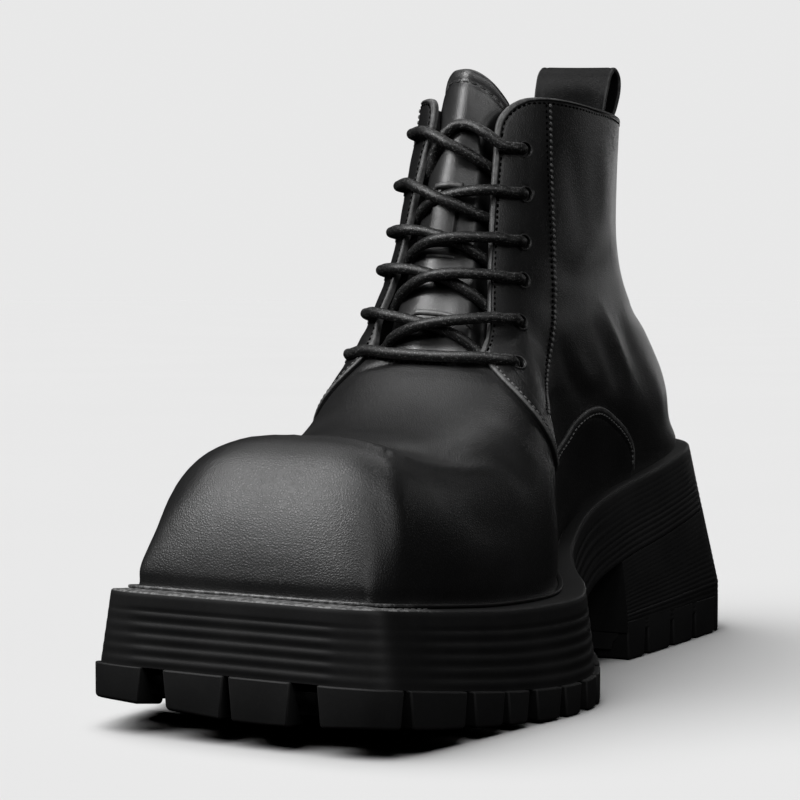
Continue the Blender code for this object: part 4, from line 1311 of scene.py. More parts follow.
@dataclass
class Tread:
    """The lugs round the edge of the forefoot or of the heel, and the layer they stand on."""

    finish: Material
    zone: Zone
    reach: float = 13.0
    flare: float = 1.2
    recess: float = 3.6
    soft: float = 1.1
    sag: float = 0.33
    into_sole: float = 4.5
    spacing: float = 12.5
    # where the slots cross the edge, and their width
    front_slots: tuple = ((-30.5, 8.0), (-3.7, 1.8), (22.9, 9.0))
    back_slots: tuple = ((-15.0, 1.8), (11.5, 1.8))
    side_slots: tuple = (
        (12.0, 2.4), (41.0, 3.4), (59.0, 1.6), (73.0, 3.4), (88.0, 1.6), (101.0, 3.4),
        (113.0, 1.6), (126.0, 3.4), (140.0, 1.6),
    )
    heel_side_slots: tuple = ((215.0, 1.8), (237.0, 1.8), (258.0, 1.8), (280.0, 1.8))
    # how far below its top the layer's levels are, and how far in from the edge
    plate_section: tuple = ((0.0, 4.0), (1.6, 4.4), (3.0, 6.0))
    plate_foot: float = 7.0

    def __post_init__(self) -> None:
        """Lays the lugs' outer edge from one side round to the other, rows of along, across."""
        self.front = self.zone is Zone.FOREFOOT
        self.name = self.zone.name.lower()
        sides = [FORM.outline(side, FORM.sole[:, FORM.FLARE]) for side in Side]
        if self.front:
            medial, lateral = (line[line[:, 0] <= FORM.FOREFOOT_END] for line in sides)
            line = np.concatenate([medial[::-1], lateral[1:]])
        else:
            medial, lateral = (line[FORM.sole[:, 0] >= FORM.HEEL_BREAST] for line in sides)
            line = np.concatenate([medial, lateral[::-1][1:]])
        self.edge = spaced(line, 900)
        self.travelled = progress(self.edge)
        run = unit(np.gradient(self.edge, axis=0))
        inward = np.stack([-run[:, 1], run[:, 0]], axis=1)
        turn = np.sign(np.sum(inward * (self.edge.mean(axis=0) - self.edge)))
        self.inward = inward * turn

    def slots(self) -> list[tuple[float, float]]:
        """Where each slot crosses the edge.

        Returns:
            Distance along the edge and half width of each, in order.
        """
        along, across = self.edge.T
        end = along < 5.0 if self.front else along > 304.0
        misses = [(np.abs(across - place) + 1e3 * ~end, width)
                  for place, width in (self.front_slots if self.front else self.back_slots)]
        misses += [(np.abs(along - place) + 1e3 * (across * side.value < 0.0), width)
                   for place, width in (self.side_slots if self.front else self.heel_side_slots)
                   for side in Side]
        return sorted((self.travelled[int(np.argmin(miss))], 0.5 * width) for miss, width in misses)

    def height(self, along: Array, across: Values = 0.0) -> Array:
        """Height of the tread's lowest face, a little lower in the middle of the toe."""
        low = 1.0 - self.sag * bump(across - 6.0, 42.0) * (along < FORM.FLAT_START)
        return FORM.tread(along) * low if self.front else np.zeros_like(along)

    def under_sole(self, flat: Array, lift: float, gap: float) -> Array:
        """Points over rows of across, along, lifted off the tread but kept under the sole."""
        height = self.height(flat[:, 1], flat[:, 0]) + lift
        return np.column_stack([flat, np.minimum(height, FORM.underside(flat[:, 1]) - gap)])

    def inside(self, where: Array, depth: float) -> Array:
        """Rows of across, along at distances along the edge, moved inwards by a depth."""
        along, across, ahead, aside = sampled(np.hstack([self.edge, self.inward]), self.travelled, where).T
        return np.stack([across + depth * aside, along + depth * ahead], axis=1)

    def lug(self, number: int, start: tuple[float, float], end: tuple[float, float]) -> Piece:
        """One lug between two slots.

        Args:
            number: the lug's number.
            start: distance along the edge and half width of the slot before it.
            end: the same for the slot after it.

        Returns:
            The lug, with soft edges.
        """
        top = FORM.LUG_HEIGHT - 0.05
        count = max(4, int((end[0] - start[0]) / 1.6))
        rings = []
        for lift, inset in ((top + self.into_sole, 0.0), (self.soft, 0.0),
                            (0.45 * self.soft, 0.18 * self.soft), (0.12 * self.soft, 0.52 * self.soft),
                            (0.0, self.soft)):
            wide = self.flare * max(1.0 - lift / top, 0.0)
            low = start[0] + start[1] + wide + inset
            high = end[0] - end[1] - wide - inset
            first, last = self.inside(np.array([low, high]), self.reach - inset)
            outer = self.inside(np.linspace(low, high, count), inset)
            rings.append(self.under_sole(np.concatenate([outer, np.linspace(last, first, 6)]), lift, 0.05))
        made = Solid(f"{self.name}_lug_{number}", self.finish, 30.0).rings(rings)
        bevel = made.modifiers.new("soft edges", "BEVEL")
        bevel.width = 0.0005
        bevel.segments = 2
        bevel.limit_method = "ANGLE"
        bevel.angle_limit = np.radians(50)
        return resolved(made)

    def plate(self) -> Piece:
        """The layer that the lugs stand on, set back behind their faces and above the floor.

        Returns:
            The layer.
        """
        top = FORM.LUG_HEIGHT - 0.3
        section = [*((top - drop, inset) for drop, inset in self.plate_section),
                   (self.recess, self.plate_foot)]
        rings = [self.under_sole((self.edge[::6] + self.inward[::6] * inset)[:, ::-1], lift, 0.3)
                 for lift, inset in section]
        size = len(rings[0])
        faces = ring_faces(len(rings), size)
        for first in (0, (len(rings) - 1) * size):
            for i in range(size // 2):
                a, d = first + i, first + size - 1 - i
                if a + 1 <= d - 1:
                    faces.append(tuple(dict.fromkeys((a, a + 1, d - 1, d))))
        return Solid(f"{self.name}_plate", self.finish).made(np.concatenate(rings), faces)

    def inner_lugs(self, tree: Repeat) -> Piece:
        """The blocks in the middle of the tread, in slanted rows.

        Args:
            tree: makes the blocks.

        Returns:
            The blocks.
        """
        spots, runs = [], []
        first, last, half = (24.0, 140.0, 34.0) if self.front else (212.0, 288.0, 17.0)
        for number, along in enumerate(np.arange(first, last, self.spacing)):
            turn = 1.0 if number % 2 else -1.0
            narrow = np.interp(along, (110.0, 145.0), (0.0, 14.0)) if self.front else 0.0
            for across in np.arange(-half, half + 1.0, 17.0) + 4.0 * turn:
                if abs(across) <= half - narrow:
                    spots.append((across - 2.0, along, 0.0))
                    runs.append((1.0, 0.35 * turn, 0.0))
        spots = np.array(spots)
        along = spots[:, 1]
        spots[:, 2] = self.height(along) + 0.5 * self.recess + 0.35
        slope = (self.height(along + 1.0) - self.height(along - 1.0)) / 2.0
        ups = unit(np.column_stack([np.zeros(len(spots)), -slope, np.ones(len(spots))]))
        sizes = (12.5, 7.5, self.recess + 0.5)
        return tree.place(f"{self.name}_inner", spots, np.array(runs), ups, sizes, self.finish)

    def build(self, tree: Repeat) -> None:
        """Makes the layer with all its lugs as one piece.

        Args:
            tree: makes the blocks in its middle.
        """
        bounds = [(0.0, 0.0), *self.slots(), (self.travelled[-1], 0.0)]
        parts = [self.plate(), self.inner_lugs(tree)]
        for number, (start, end) in enumerate(zip(bounds, bounds[1:])):
            if end[0] - end[1] - start[0] - start[1] > 5.0:
                parts.append(self.lug(number, start, end))
        piece = joined(parts, f"{self.name}_lugs")
        paint_on(piece, "wear_and_sheen", np.zeros(len(piece.data.vertices)))
        settle_piece(piece, "tread_rubber", self.zone.value)


# Relief of the leather

@dataclass(frozen=True)
class Fold:
    """A soft trough or ridge along a line of the upper, fading out at its ends."""

    rows: tuple
    rise: float
    width: float
    sides: tuple = (Side.MEDIAL, Side.LATERAL)


@dataclass(frozen=True)
class Step:
    """A panel's thickness over the leather under it, on one side of a line.

    It falls off between the two distances of fade from the line, and from the line's start it
    rises between the two distances of starts.
    """

    rows: tuple
    rise: float
    turn: float
    fade: tuple[float, float] = (400.0, 410.0)
    starts: tuple[float, float] = (-2.0, -1.0)


QUARTER_EDGE = ((20.0, 119.6, 110.8), (22.0, 118.5, 109.0), (30.0, 115.5, 102.0),
                (37.5, 115.0, 94.7), (41.5, 118.0, 87.0), (43.0, 124.0, 79.0), (43.0, 127.0, 76.0))
ARCH = ((43.5, 124.0, 78.5), (37.0, 137.0, 76.3), (31.0, 150.0, 76.5), (28.2, 163.6, 82.3),
        (29.0, 171.3, 88.2), (29.9, 180.4, 91.8), (30.3, 189.9, 92.3), (30.1, 203.0, 87.6),
        (29.6, 213.0, 82.2), (29.4, 219.5, 76.0), (29.6, 221.5, 68.0))
SEAM = ((20.7, 167.4, 203.0), (21.6, 166.2, 182.7), (22.7, 165.2, 165.3), (24.3, 163.7, 147.9),
        (26.7, 160.3, 130.6), (28.1, 156.0, 120.3), (28.6, 151.0, 110.1), (31.6, 141.6, 100.3),
        (36.5, 129.0, 95.5), (39.0, 123.5, 92.0))


@dataclass
class Relief:
    """How far the leather stands off the plain form: creases, ridges and panel steps."""

    folds: tuple[Fold, ...] = (
        Fold(((38.8, 23.7, 45), (34, 31, 66), (26, 40, 87)), 0.7, 4.0),
        Fold(((31, 24.5, 50), (29, 31, 68), (22, 38, 84)), -0.35, 4.5),
        Fold(((-34, 42, 88.5), (-16, 42, 89), (5, 44, 89), (18.4, 43.3, 88), (27, 45, 85),
              (30.6, 53.5, 82), (32.8, 63, 80), (38, 80, 78), (41, 92, 77)), 0.85, 2.3, (Side.MEDIAL,)),
        Fold(((-30, 50, 89), (-12, 51, 89), (6, 54, 88.5), (19, 59, 86.5), (28, 69, 84), (34, 82, 82)),
             -1.3, 4.8, (Side.MEDIAL,)),
        Fold(((-30, 66, 88), (-10, 71, 88.5), (10, 72, 88.5), (30, 68, 86)), 0.5, 6.5, (Side.MEDIAL,)),
        Fold(((47, 60, 66), (48, 74, 62), (49, 90, 60)), -0.8, 7.0),
        Fold(((36, 84, 88), (41, 92, 80), (45, 101, 68)), -0.7, 4.5, (Side.MEDIAL,)),
        Fold(((30, 96, 96), (37, 101, 88), (43, 107, 76)), 0.5, 4.0, (Side.MEDIAL,)),
        Fold(((31, 168, 112), (32, 176, 104), (33, 190, 97)), 0.8, 4.0),
        Fold(((30, 158, 118), (32, 168, 104), (32, 178, 97), (32, 192, 98.5)), -1.0, 4.2),
        Fold(((31, 186, 124), (33, 196, 112), (33, 205, 98)), -0.9, 4.8),
        Fold(((31, 196, 130), (33, 207, 116), (33, 217, 100)), 0.8, 4.0),
        Fold(((30, 215, 128), (32, 222, 114), (32, 230, 98)), -0.8, 5.5),
        Fold(((30, 150, 130), (31, 166, 128), (31, 184, 133)), -0.6, 5.0, (Side.MEDIAL,)),
        Fold(((29, 158, 144), (30, 178, 139), (30, 200, 144), (27, 222, 150)), -0.8, 5.5),
        Fold(((29, 162, 153), (30, 182, 150), (30, 202, 155)), 0.5, 5.0, (Side.LATERAL,)),
        Fold(((26, 226, 126), (18, 243, 124), (6, 254, 122)), -0.9, 5.0),
        Fold(((28, 176, 188), (28.5, 180, 168), (29, 184, 152)), -0.5, 6.5),
        Fold(((28, 204, 190), (28, 206, 172), (28, 207, 158)), 0.45, 7.0),
        Fold(((24, 226, 186), (24, 226, 168), (24, 226, 150)), -0.45, 7.5),
        Fold(((33, 232, 110), (30, 246, 96), (29, 254, 84)), 0.5, 6.0),
        Fold(((46, 110, 62), (42, 122, 64), (38, 134, 66)), -0.5, 6.0),
        Fold(((-26, 119, 103), (-18.3, 117, 107.8), (-8, 116.3, 110.3), (1.7, 115.9, 110.6),
              (12, 116.2, 109.8), (22, 117.8, 106)), -1.3, 1.3, (Side.MEDIAL,)),
    )
    steps: tuple[Step, ...] = (
        Step(QUARTER_EDGE, 1.4, 1.0, (6.0, 34.0)),
        Step(ARCH, 1.0, -1.0, starts=(4.0, 30.0)),
    )
    batch: int = 4000

    def __post_init__(self) -> None:
        """Lays every line on the form."""
        self.creases = [(fold, SurfaceLine.through(fold.rows, side, 1.0, 30).points)
                        for fold in self.folds for side in fold.sides]
        self.edges = [(step, SurfaceLine.through(step.rows, side, step.turn, 220))
                      for step in self.steps for side in Side]

    def nearest(self, points: Array, line: Array) -> tuple[Array, Array]:
        """The nearest row of a line to each point.

        Args:
            points: the points.
            line: the line's points.

        Returns:
            The row for each point, and how far it is.
        """
        found, far = [], []
        for start in range(0, len(points), self.batch):
            apart = np.linalg.norm(points[start:start + self.batch, None] - line[None], axis=2)
            found.append(apart.argmin(axis=1))
            far.append(apart.min(axis=1))
        return np.concatenate(found), np.concatenate(far)

    def soft(self, points: Array) -> Array:
        """Height of the soft creases and ridges.

        Args:
            points: points on the form.

        Returns:
            The height at each.
        """
        total = np.zeros(len(points))
        for fold, line in self.creases:
            row, far = self.nearest(points, line)
            share = row / (len(line) - 1)
            ends = np.sin(np.pi * np.clip(share, 0.02, 0.98)) ** 0.7
            total += fold.rise * bump(far, fold.width) * ends
        return total

    def panels(self, points: Array) -> Array:
        """Height of the panels' steps, kept just inside their edges.

        Args:
            points: points on the form.

        Returns:
            The height at each.
        """
        total = np.zeros(len(points))
        for step, line in self.edges:
            row, _ = self.nearest(points, line.points)
            away = points - line.points[row]
            inside = np.sum(away * line.side[row], axis=1)
            past = np.abs(np.sum(away * line.run[row], axis=1))
            travelled = progress(line.points, measured=3)[row]
            rise = soft_step(inside, 0.8, 3.2) * (1.0 - soft_step(inside, *step.fade))
            rise = rise * (1.0 - soft_step(past, 3.0, 9.0)) * soft_step(travelled, *step.starts)
            side = np.sign(line.points[0, 0] - FORM.middle)
            total = np.maximum(total, step.rise * rise * (np.sign(points[:, 0] + 2.0) == side))
        return total

    def over(self, line: SurfaceLine, lift: float, panels: bool = False) -> Array:
        """A line's points on the creased leather, raised by lift, and by the panels where wanted."""
        rise = self.soft(line.points) + (self.panels(line.points) if panels else 0.0)
        return line.points + line.normal * (lift + rise)[:, None]


RELIEF = Relief()


# Upper

# height, how much higher on the lateral side, distance out, how much less on the lateral side
EYELETS = ((182.5, 5.6, 22.0, 1.8), (167.0, 3.0, 23.5, -0.8), (150.5, 3.0, 24.5, 0.8),
           (137.5, 2.5, 25.8, 0.0), (123.4, 1.5, 28.2, 0.0), (109.5, 1.0, 32.5, 0.0))


def eyelet_spot(row: int, side: Side) -> tuple[float, float]:
    """An eyelet's distance out from the shaft's middle, and its height."""
    height, higher, out, less = EYELETS[row]
    return (out - less, height + higher) if side is Side.LATERAL else (out, height)


def eyelet_places() -> list[tuple[Array, Array]]:
    """Each eyelet's place, from the top pair down.

    Returns:
        Centre on the outer form and normal of each.
    """
    spots = [(side, *eyelet_spot(row, side)) for row in range(len(EYELETS)) for side in Side]
    points = FORM.front_points([(side.value * out, height, 0.0) for side, out, height in spots])
    return list(zip(points, FORM.outward(points)))


def circle(centre: Array, normal: Array, radius: float, lift: float, count: int) -> Array:
    """A circle round an eyelet.

    Args:
        centre: the eyelet's centre.
        normal: its normal.
        radius: the circle's radius.
        lift: how far along the normal it is.
        count: how many points it gets.

    Returns:
        The points.
    """
    first = unit(np.cross(normal, (0.0, 0.0, 1.0)))
    angle = np.linspace(0.0, 2.0 * np.pi, count, endpoint=False)[:, None]
    turned = np.cos(angle) * first + np.sin(angle) * np.cross(normal, first)
    return centre + normal * lift + radius * turned


@dataclass
class Upper:
    """The hollow leather upper with its panels, edges and eyelets."""

    leather: Material
    lining: Material
    columns: int = 210
    rim_steps: int = 9
    hole: float = 5.1
    inner_every: int = 3
    body_levels: int = 82
    # how far below the top edge the last levels are
    top_levels: tuple = (8.0, 6.6, 5.4, 4.4, 3.6, 3.0, 2.5, 2.1, 1.8, 1.5, 1.2, 0.9, 0.6, 0.3, 0.0)
    # sections of the cut edges: distance into the panel, height over the leather
    quarter_section: tuple = (
        (0.0, -1.2), (0.0, 0.5), (0.0, 1.0), (0.15, 1.4), (0.5, 1.66), (0.9, 1.72), (1.3, 1.62),
        (1.7, 1.4), (2.1, 1.55), (2.8, 1.62), (3.6, 1.6), (4.6, 1.55), (5.6, 1.48), (6.3, 1.36),
        (7.0, 1.0), (7.0, -1.2),
    )
    wing_section: tuple = (
        (0.0, -1.0), (0.0, 0.5), (0.12, 0.85), (0.45, 1.1), (0.8, 1.12), (1.15, 0.98), (1.5, 1.02),
        (2.4, 1.1), (3.4, 1.08), (4.2, 0.98), (4.8, 0.6), (4.8, -1.0),
    )

    def grids(self) -> tuple[Array, Array]:
        """The outer form in columns right round the boot, closer levels at its foot and top edge.

        Returns:
            Its points and its normals, columns x levels.
        """
        rows = FORM.column_rows(self.columns)
        even = np.linspace(0.0, 1.0, self.body_levels)[:-1]
        sides = []
        for side in Side:
            coarse = FORM.columns(side, rows, np.linspace(0.0, 1.0, 24))
            length = np.linalg.norm(np.diff(coarse, axis=1), axis=2).sum(axis=1)
            top = 1.0 - np.array(self.top_levels) / length[:, None]
            shares = np.hstack([even * (1.0 - 0.22 * (1.0 - even)) * top[:, :1], top])
            sides.append(FORM.columns(side, rows, shares))
        form = np.concatenate([sides[0], sides[1][::-1][1:-1]])
        normal = FORM.outward(form.reshape(-1, 3)).reshape(form.shape)
        normal[:, 0, 2] = 0.0
        return form, unit(normal)

    def relief(self, form: Array) -> Array:
        """How far the outside stands off the form: folds, panels, edges and eyelet dimples.

        Args:
            form: the outer form, columns x levels.

        Returns:
            A height for each point.
        """
        flat = form.reshape(-1, 3)
        total = RELIEF.soft(flat) + RELIEF.panels(flat)
        for centre, _ in eyelet_places():
            far = np.linalg.norm(flat - centre, axis=1)
            total += 0.28 * bump(far - 3.1, 0.8) - 0.55 * bump(far, 6.0)
        total = total.reshape(form.shape[:2])
        down = np.linalg.norm(form - form[:, -1:], axis=2)
        total += 0.22 * bump(down - 0.9, 0.7) - 0.3 * bump(down - 2.0, 0.6)
        foot = np.linalg.norm(form - form[:, :1], axis=2)
        return total * soft_step(foot, 0.0, 3.0) - 0.6 * bump(foot - 2.0, 2.2) * soft_step(foot, 0, 1.0)

    def shell(self) -> Piece:
        """The wall: outside, rolled rim, and the lining inside.

        Returns:
            The wall, closed underneath between outside and inside.
        """
        form, normal = self.grids()
        outer = form + self.relief(form)[..., None] * normal
        inner = (form - FORM.WALL * normal)[:, ::-1][:, ::self.inner_every]
        inner[:, -1] = form[:, 0] - FORM.WALL * normal[:, 0]
        high, low = outer[:, -1], inner[:, 0]
        middle, reach = 0.5 * (high + low), 0.5 * (high - low)
        climb = unit(form[:, -1] - form[:, -4])
        climb = unit(climb - unit(reach) * np.sum(climb * unit(reach), axis=1)[:, None])
        radius = np.linalg.norm(reach, axis=1)[:, None]
        rim = []
        for turn in np.linspace(0.0, np.pi, self.rim_steps + 2)[1:-1]:
            pinch = 0.78 - 0.22 * bump(turn - 0.5 * np.pi, 0.2)
            rim.append(middle + reach * np.cos(turn) + climb * radius * np.sin(turn) * pinch)
        rings = [*np.moveaxis(outer, 1, 0), *rim, *np.moveaxis(inner, 1, 0)]
        made = Solid("boot_upper", self.leather, 60.0).rings(rings, closed=True)
        made.data.materials.append(self.lining)
        first_inside = (outer.shape[1] + len(rim) - 2) * len(form)
        inside = np.arange(len(made.data.polygons)) >= first_inside
        made.data.polygons.foreach_set("material_index", inside.astype(np.int32))
        depth = np.linalg.norm(form - form[:, -1:], axis=2).T.ravel()
        wear_and_sheen = np.concatenate([bump(depth, 1.1), np.ones(len(rim) * len(form)),
                               np.zeros(inner.shape[0] * inner.shape[1])])
        paint_on(made, "wear_and_sheen", 1.1 * wear_and_sheen)
        return made

    def punched(self, made: Piece) -> Piece:
        """Cuts the eyelet holes.

        Args:
            made: the wall, which is removed.

        Returns:
            The wall with its holes.
        """
        cutters = []
        for number, (centre, normal) in enumerate(eyelet_places()):
            rings = [circle(centre, normal, 0.5 * self.hole, lift, 24) for lift in (-6.0, 6.0)]
            cutters.append(Solid(f"punch_{number}", self.leather).rings(rings))
        cutter = joined(cutters, "punches")
        cut = made.modifiers.new("eyelets", "BOOLEAN")
        cut.operation, cut.solver, cut.object = "DIFFERENCE", "EXACT", cutter
        made = resolved(made)
        bpy.data.objects.remove(cutter)
        return made

    def rims(self) -> list[Piece]:
        """The raised edge round each punched hole.

        Returns:
            One ring for each.
        """
        made = []
        for number, (centre, normal) in enumerate(eyelet_places()):
            rise = RELIEF.panels(centre[None])[0] - 0.08
            rings = [
                circle(centre, normal, 0.5 * self.hole + 0.16 + 0.3 * np.cos(turn),
                       rise + 0.24 * np.sin(turn), 32)
                for turn in np.linspace(0.0, 2.0 * np.pi, 9)[:-1]
            ]
            rim = Solid(f"rim_{number}", self.leather, 180.0).rings(rings, closed=True)
            paint_on(rim, "wear_and_sheen", np.full(len(rim.data.vertices), 0.35))
            made.append(rim)
        return made

    def strip(self, name: str, line: SurfaceLine, section: Sequence[tuple[float, float]],
              wear_and_sheen: float) -> Piece:
        """A thin raised edge along a line.

        Args:
            name: the strip's name.
            line: the line it follows; its side direction points into the panel.
            section: rows of distance into the panel and height over the leather.
            wear_and_sheen: how much paler the strip's crest is painted.

        Returns:
            The strip.
        """
        soft = RELIEF.soft(line.points)
        sides = []
        for inward, height in section:
            points = FORM.settle(line.points + inward * line.side)
            sides.append(points + FORM.outward(points) * (height + soft)[:, None])
        made = Solid(name, self.leather, 70.0).rings(np.stack(sides, axis=1))
        # The crest of the strip is marked to be painted paler.
        top = [0.0 < inward < 1.4 and height > 0.5 for inward, height in section]
        paint_on(made, "wear_and_sheen", wear_and_sheen * np.tile(np.array(top, float), len(line.points)))
        return made

    def edges(self) -> list[Piece]:
        """The cut edges of the quarters and of the vamp's wings.

        Returns:
            A strip for each.
        """
        made = []
        for side in Side:
            quarter = SurfaceLine.through(QUARTER_EDGE, side, 1.0, 240)
            wing = SurfaceLine.through(ARCH[1:], side, -1.0, 320)
            made.append(self.strip(f"quarter_edge_{side.name}", quarter, self.quarter_section, 1.3))
            made.append(self.strip(f"wing_edge_{side.name}", wing, self.wing_section, 1.0))
        return made

    def build(self) -> None:
        """Makes the whole upper."""
        parts = [self.punched(self.shell()), *self.rims(), *self.edges()]
        settle_piece(joined(parts, "boot_upper"), "black_leather", "upper")


# Pieces round the upper

def resting(lines: dict[Side, Array], lift: Values, rows: Array) -> list[Array]:
    """Points that follow the platform's top down both sides.

    Args:
        lines: rows of along, across on each side.
        lift: how far above the platform's top edge.
        rows: which rows of the lines.

    Returns:
        The points of the medial and of the lateral side.
    """
    level = []
    for side in Side:
        along, across = sampled(lines[side], FORM.row, rows).T
        level.append(np.stack([across, along, FORM.ledge(along) + lift], axis=1))
    return level


@dataclass
class Welt:
    """The strip round the foot of the upper, which stands higher round the toe."""

    finish: Material
    width: float = 2.6
    narrow: float = 1.7
    clearance: float = 0.3
    low: float = 0.7
    high: float = 1.0
    columns: int = 260
    # share of the width, share of the height, how much paler: partly wear, partly a painted highlight round
    # the toe
    section: tuple = (
        (0.0, 0.0, 0.0), (0.9, 0.0, 0.0), (0.97, 0.1, 0.5), (1.0, 0.3, 0.9), (0.99, 0.6, 1.0),
        (0.95, 0.84, 1.0), (0.86, 0.97, 0.9), (0.72, 1.0, 0.7), (0.5, 0.95, 0.4), (0.2, 0.92, 0.2),
        (0.0, 0.8, 0.0),
    )

    def lines(self, share: float, extra: float = 0.0) -> dict[Side, Array]:
        """Lines at a share of the strip's width, or a little further out.

        Args:
            share: 0 at the upper's foot, 1 at the strip's outer edge.
            extra: how much further out.

        Returns:
            Rows of along, across for each side.
        """
        toe = 1.0 - soft_step(FORM.sole[:, 0], 22.0, 80.0)
        width = self.narrow + (self.width - self.narrow) * toe
        outset = self.clearance + (width - self.clearance) * share + extra
        return {side: FORM.moved_line(FORM.line[side], side, outset) for side in Side}

    def build(self) -> None:
        """Makes the strip, rounded at its outer edge."""
        rows = FORM.column_rows(self.columns)
        toe = 1.0 - soft_step(np.interp(rows, FORM.row, FORM.sole[:, 0]), 30.0, 105.0)
        top = self.low + (self.high - self.low) * toe
        rings, wear_and_sheen = [], []
        for reach, share, worn in self.section:
            medial, lateral = resting(self.lines(reach), FORM.SEAT_GAP + top * share, rows)
            rings.append(np.concatenate([medial, lateral[::-1][1:-1]]))
            # Painted highlight: the welt's outer edge round the toe is marked paler, partly as wear and
            # partly for the light from above.
            wear_and_sheen.append(worn * (1.0 - soft_step(rings[-1][:, 1], 10.0, 34.0)))
        made = Solid("welt_strip", self.finish, 50.0).rings(rings, closed=True)
        paint_on(made, "wear_and_sheen", np.concatenate(wear_and_sheen))
        settle_piece(made, "welt_rubber", "welt")


@dataclass
class Insole:
    """The insole that the foot stands on."""

    finish: Material
    height: float = 3.0
    clearance: float = 1.2
    columns: int = 170
    # distance in from the edge, drop from the top
    section: tuple = ((9.0, 0.3), (4.0, 0.1), (1.2, 0.0), (0.4, 0.25), (0.0, 0.8), (0.0, 3.0))

    def build(self) -> None:
        """Makes the insole with a softly rounded edge."""
        rows = FORM.column_rows(self.columns)
        edge = FORM.WALL + self.clearance
        top = FORM.SEAT_GAP + self.height
        levels = [resting(FORM.inset_lines(edge + inset), top - drop, rows)
                  for inset, drop in self.section]
        settle_piece(Solid("insole_board", self.finish).layers(levels), "insole_leather", "insole")


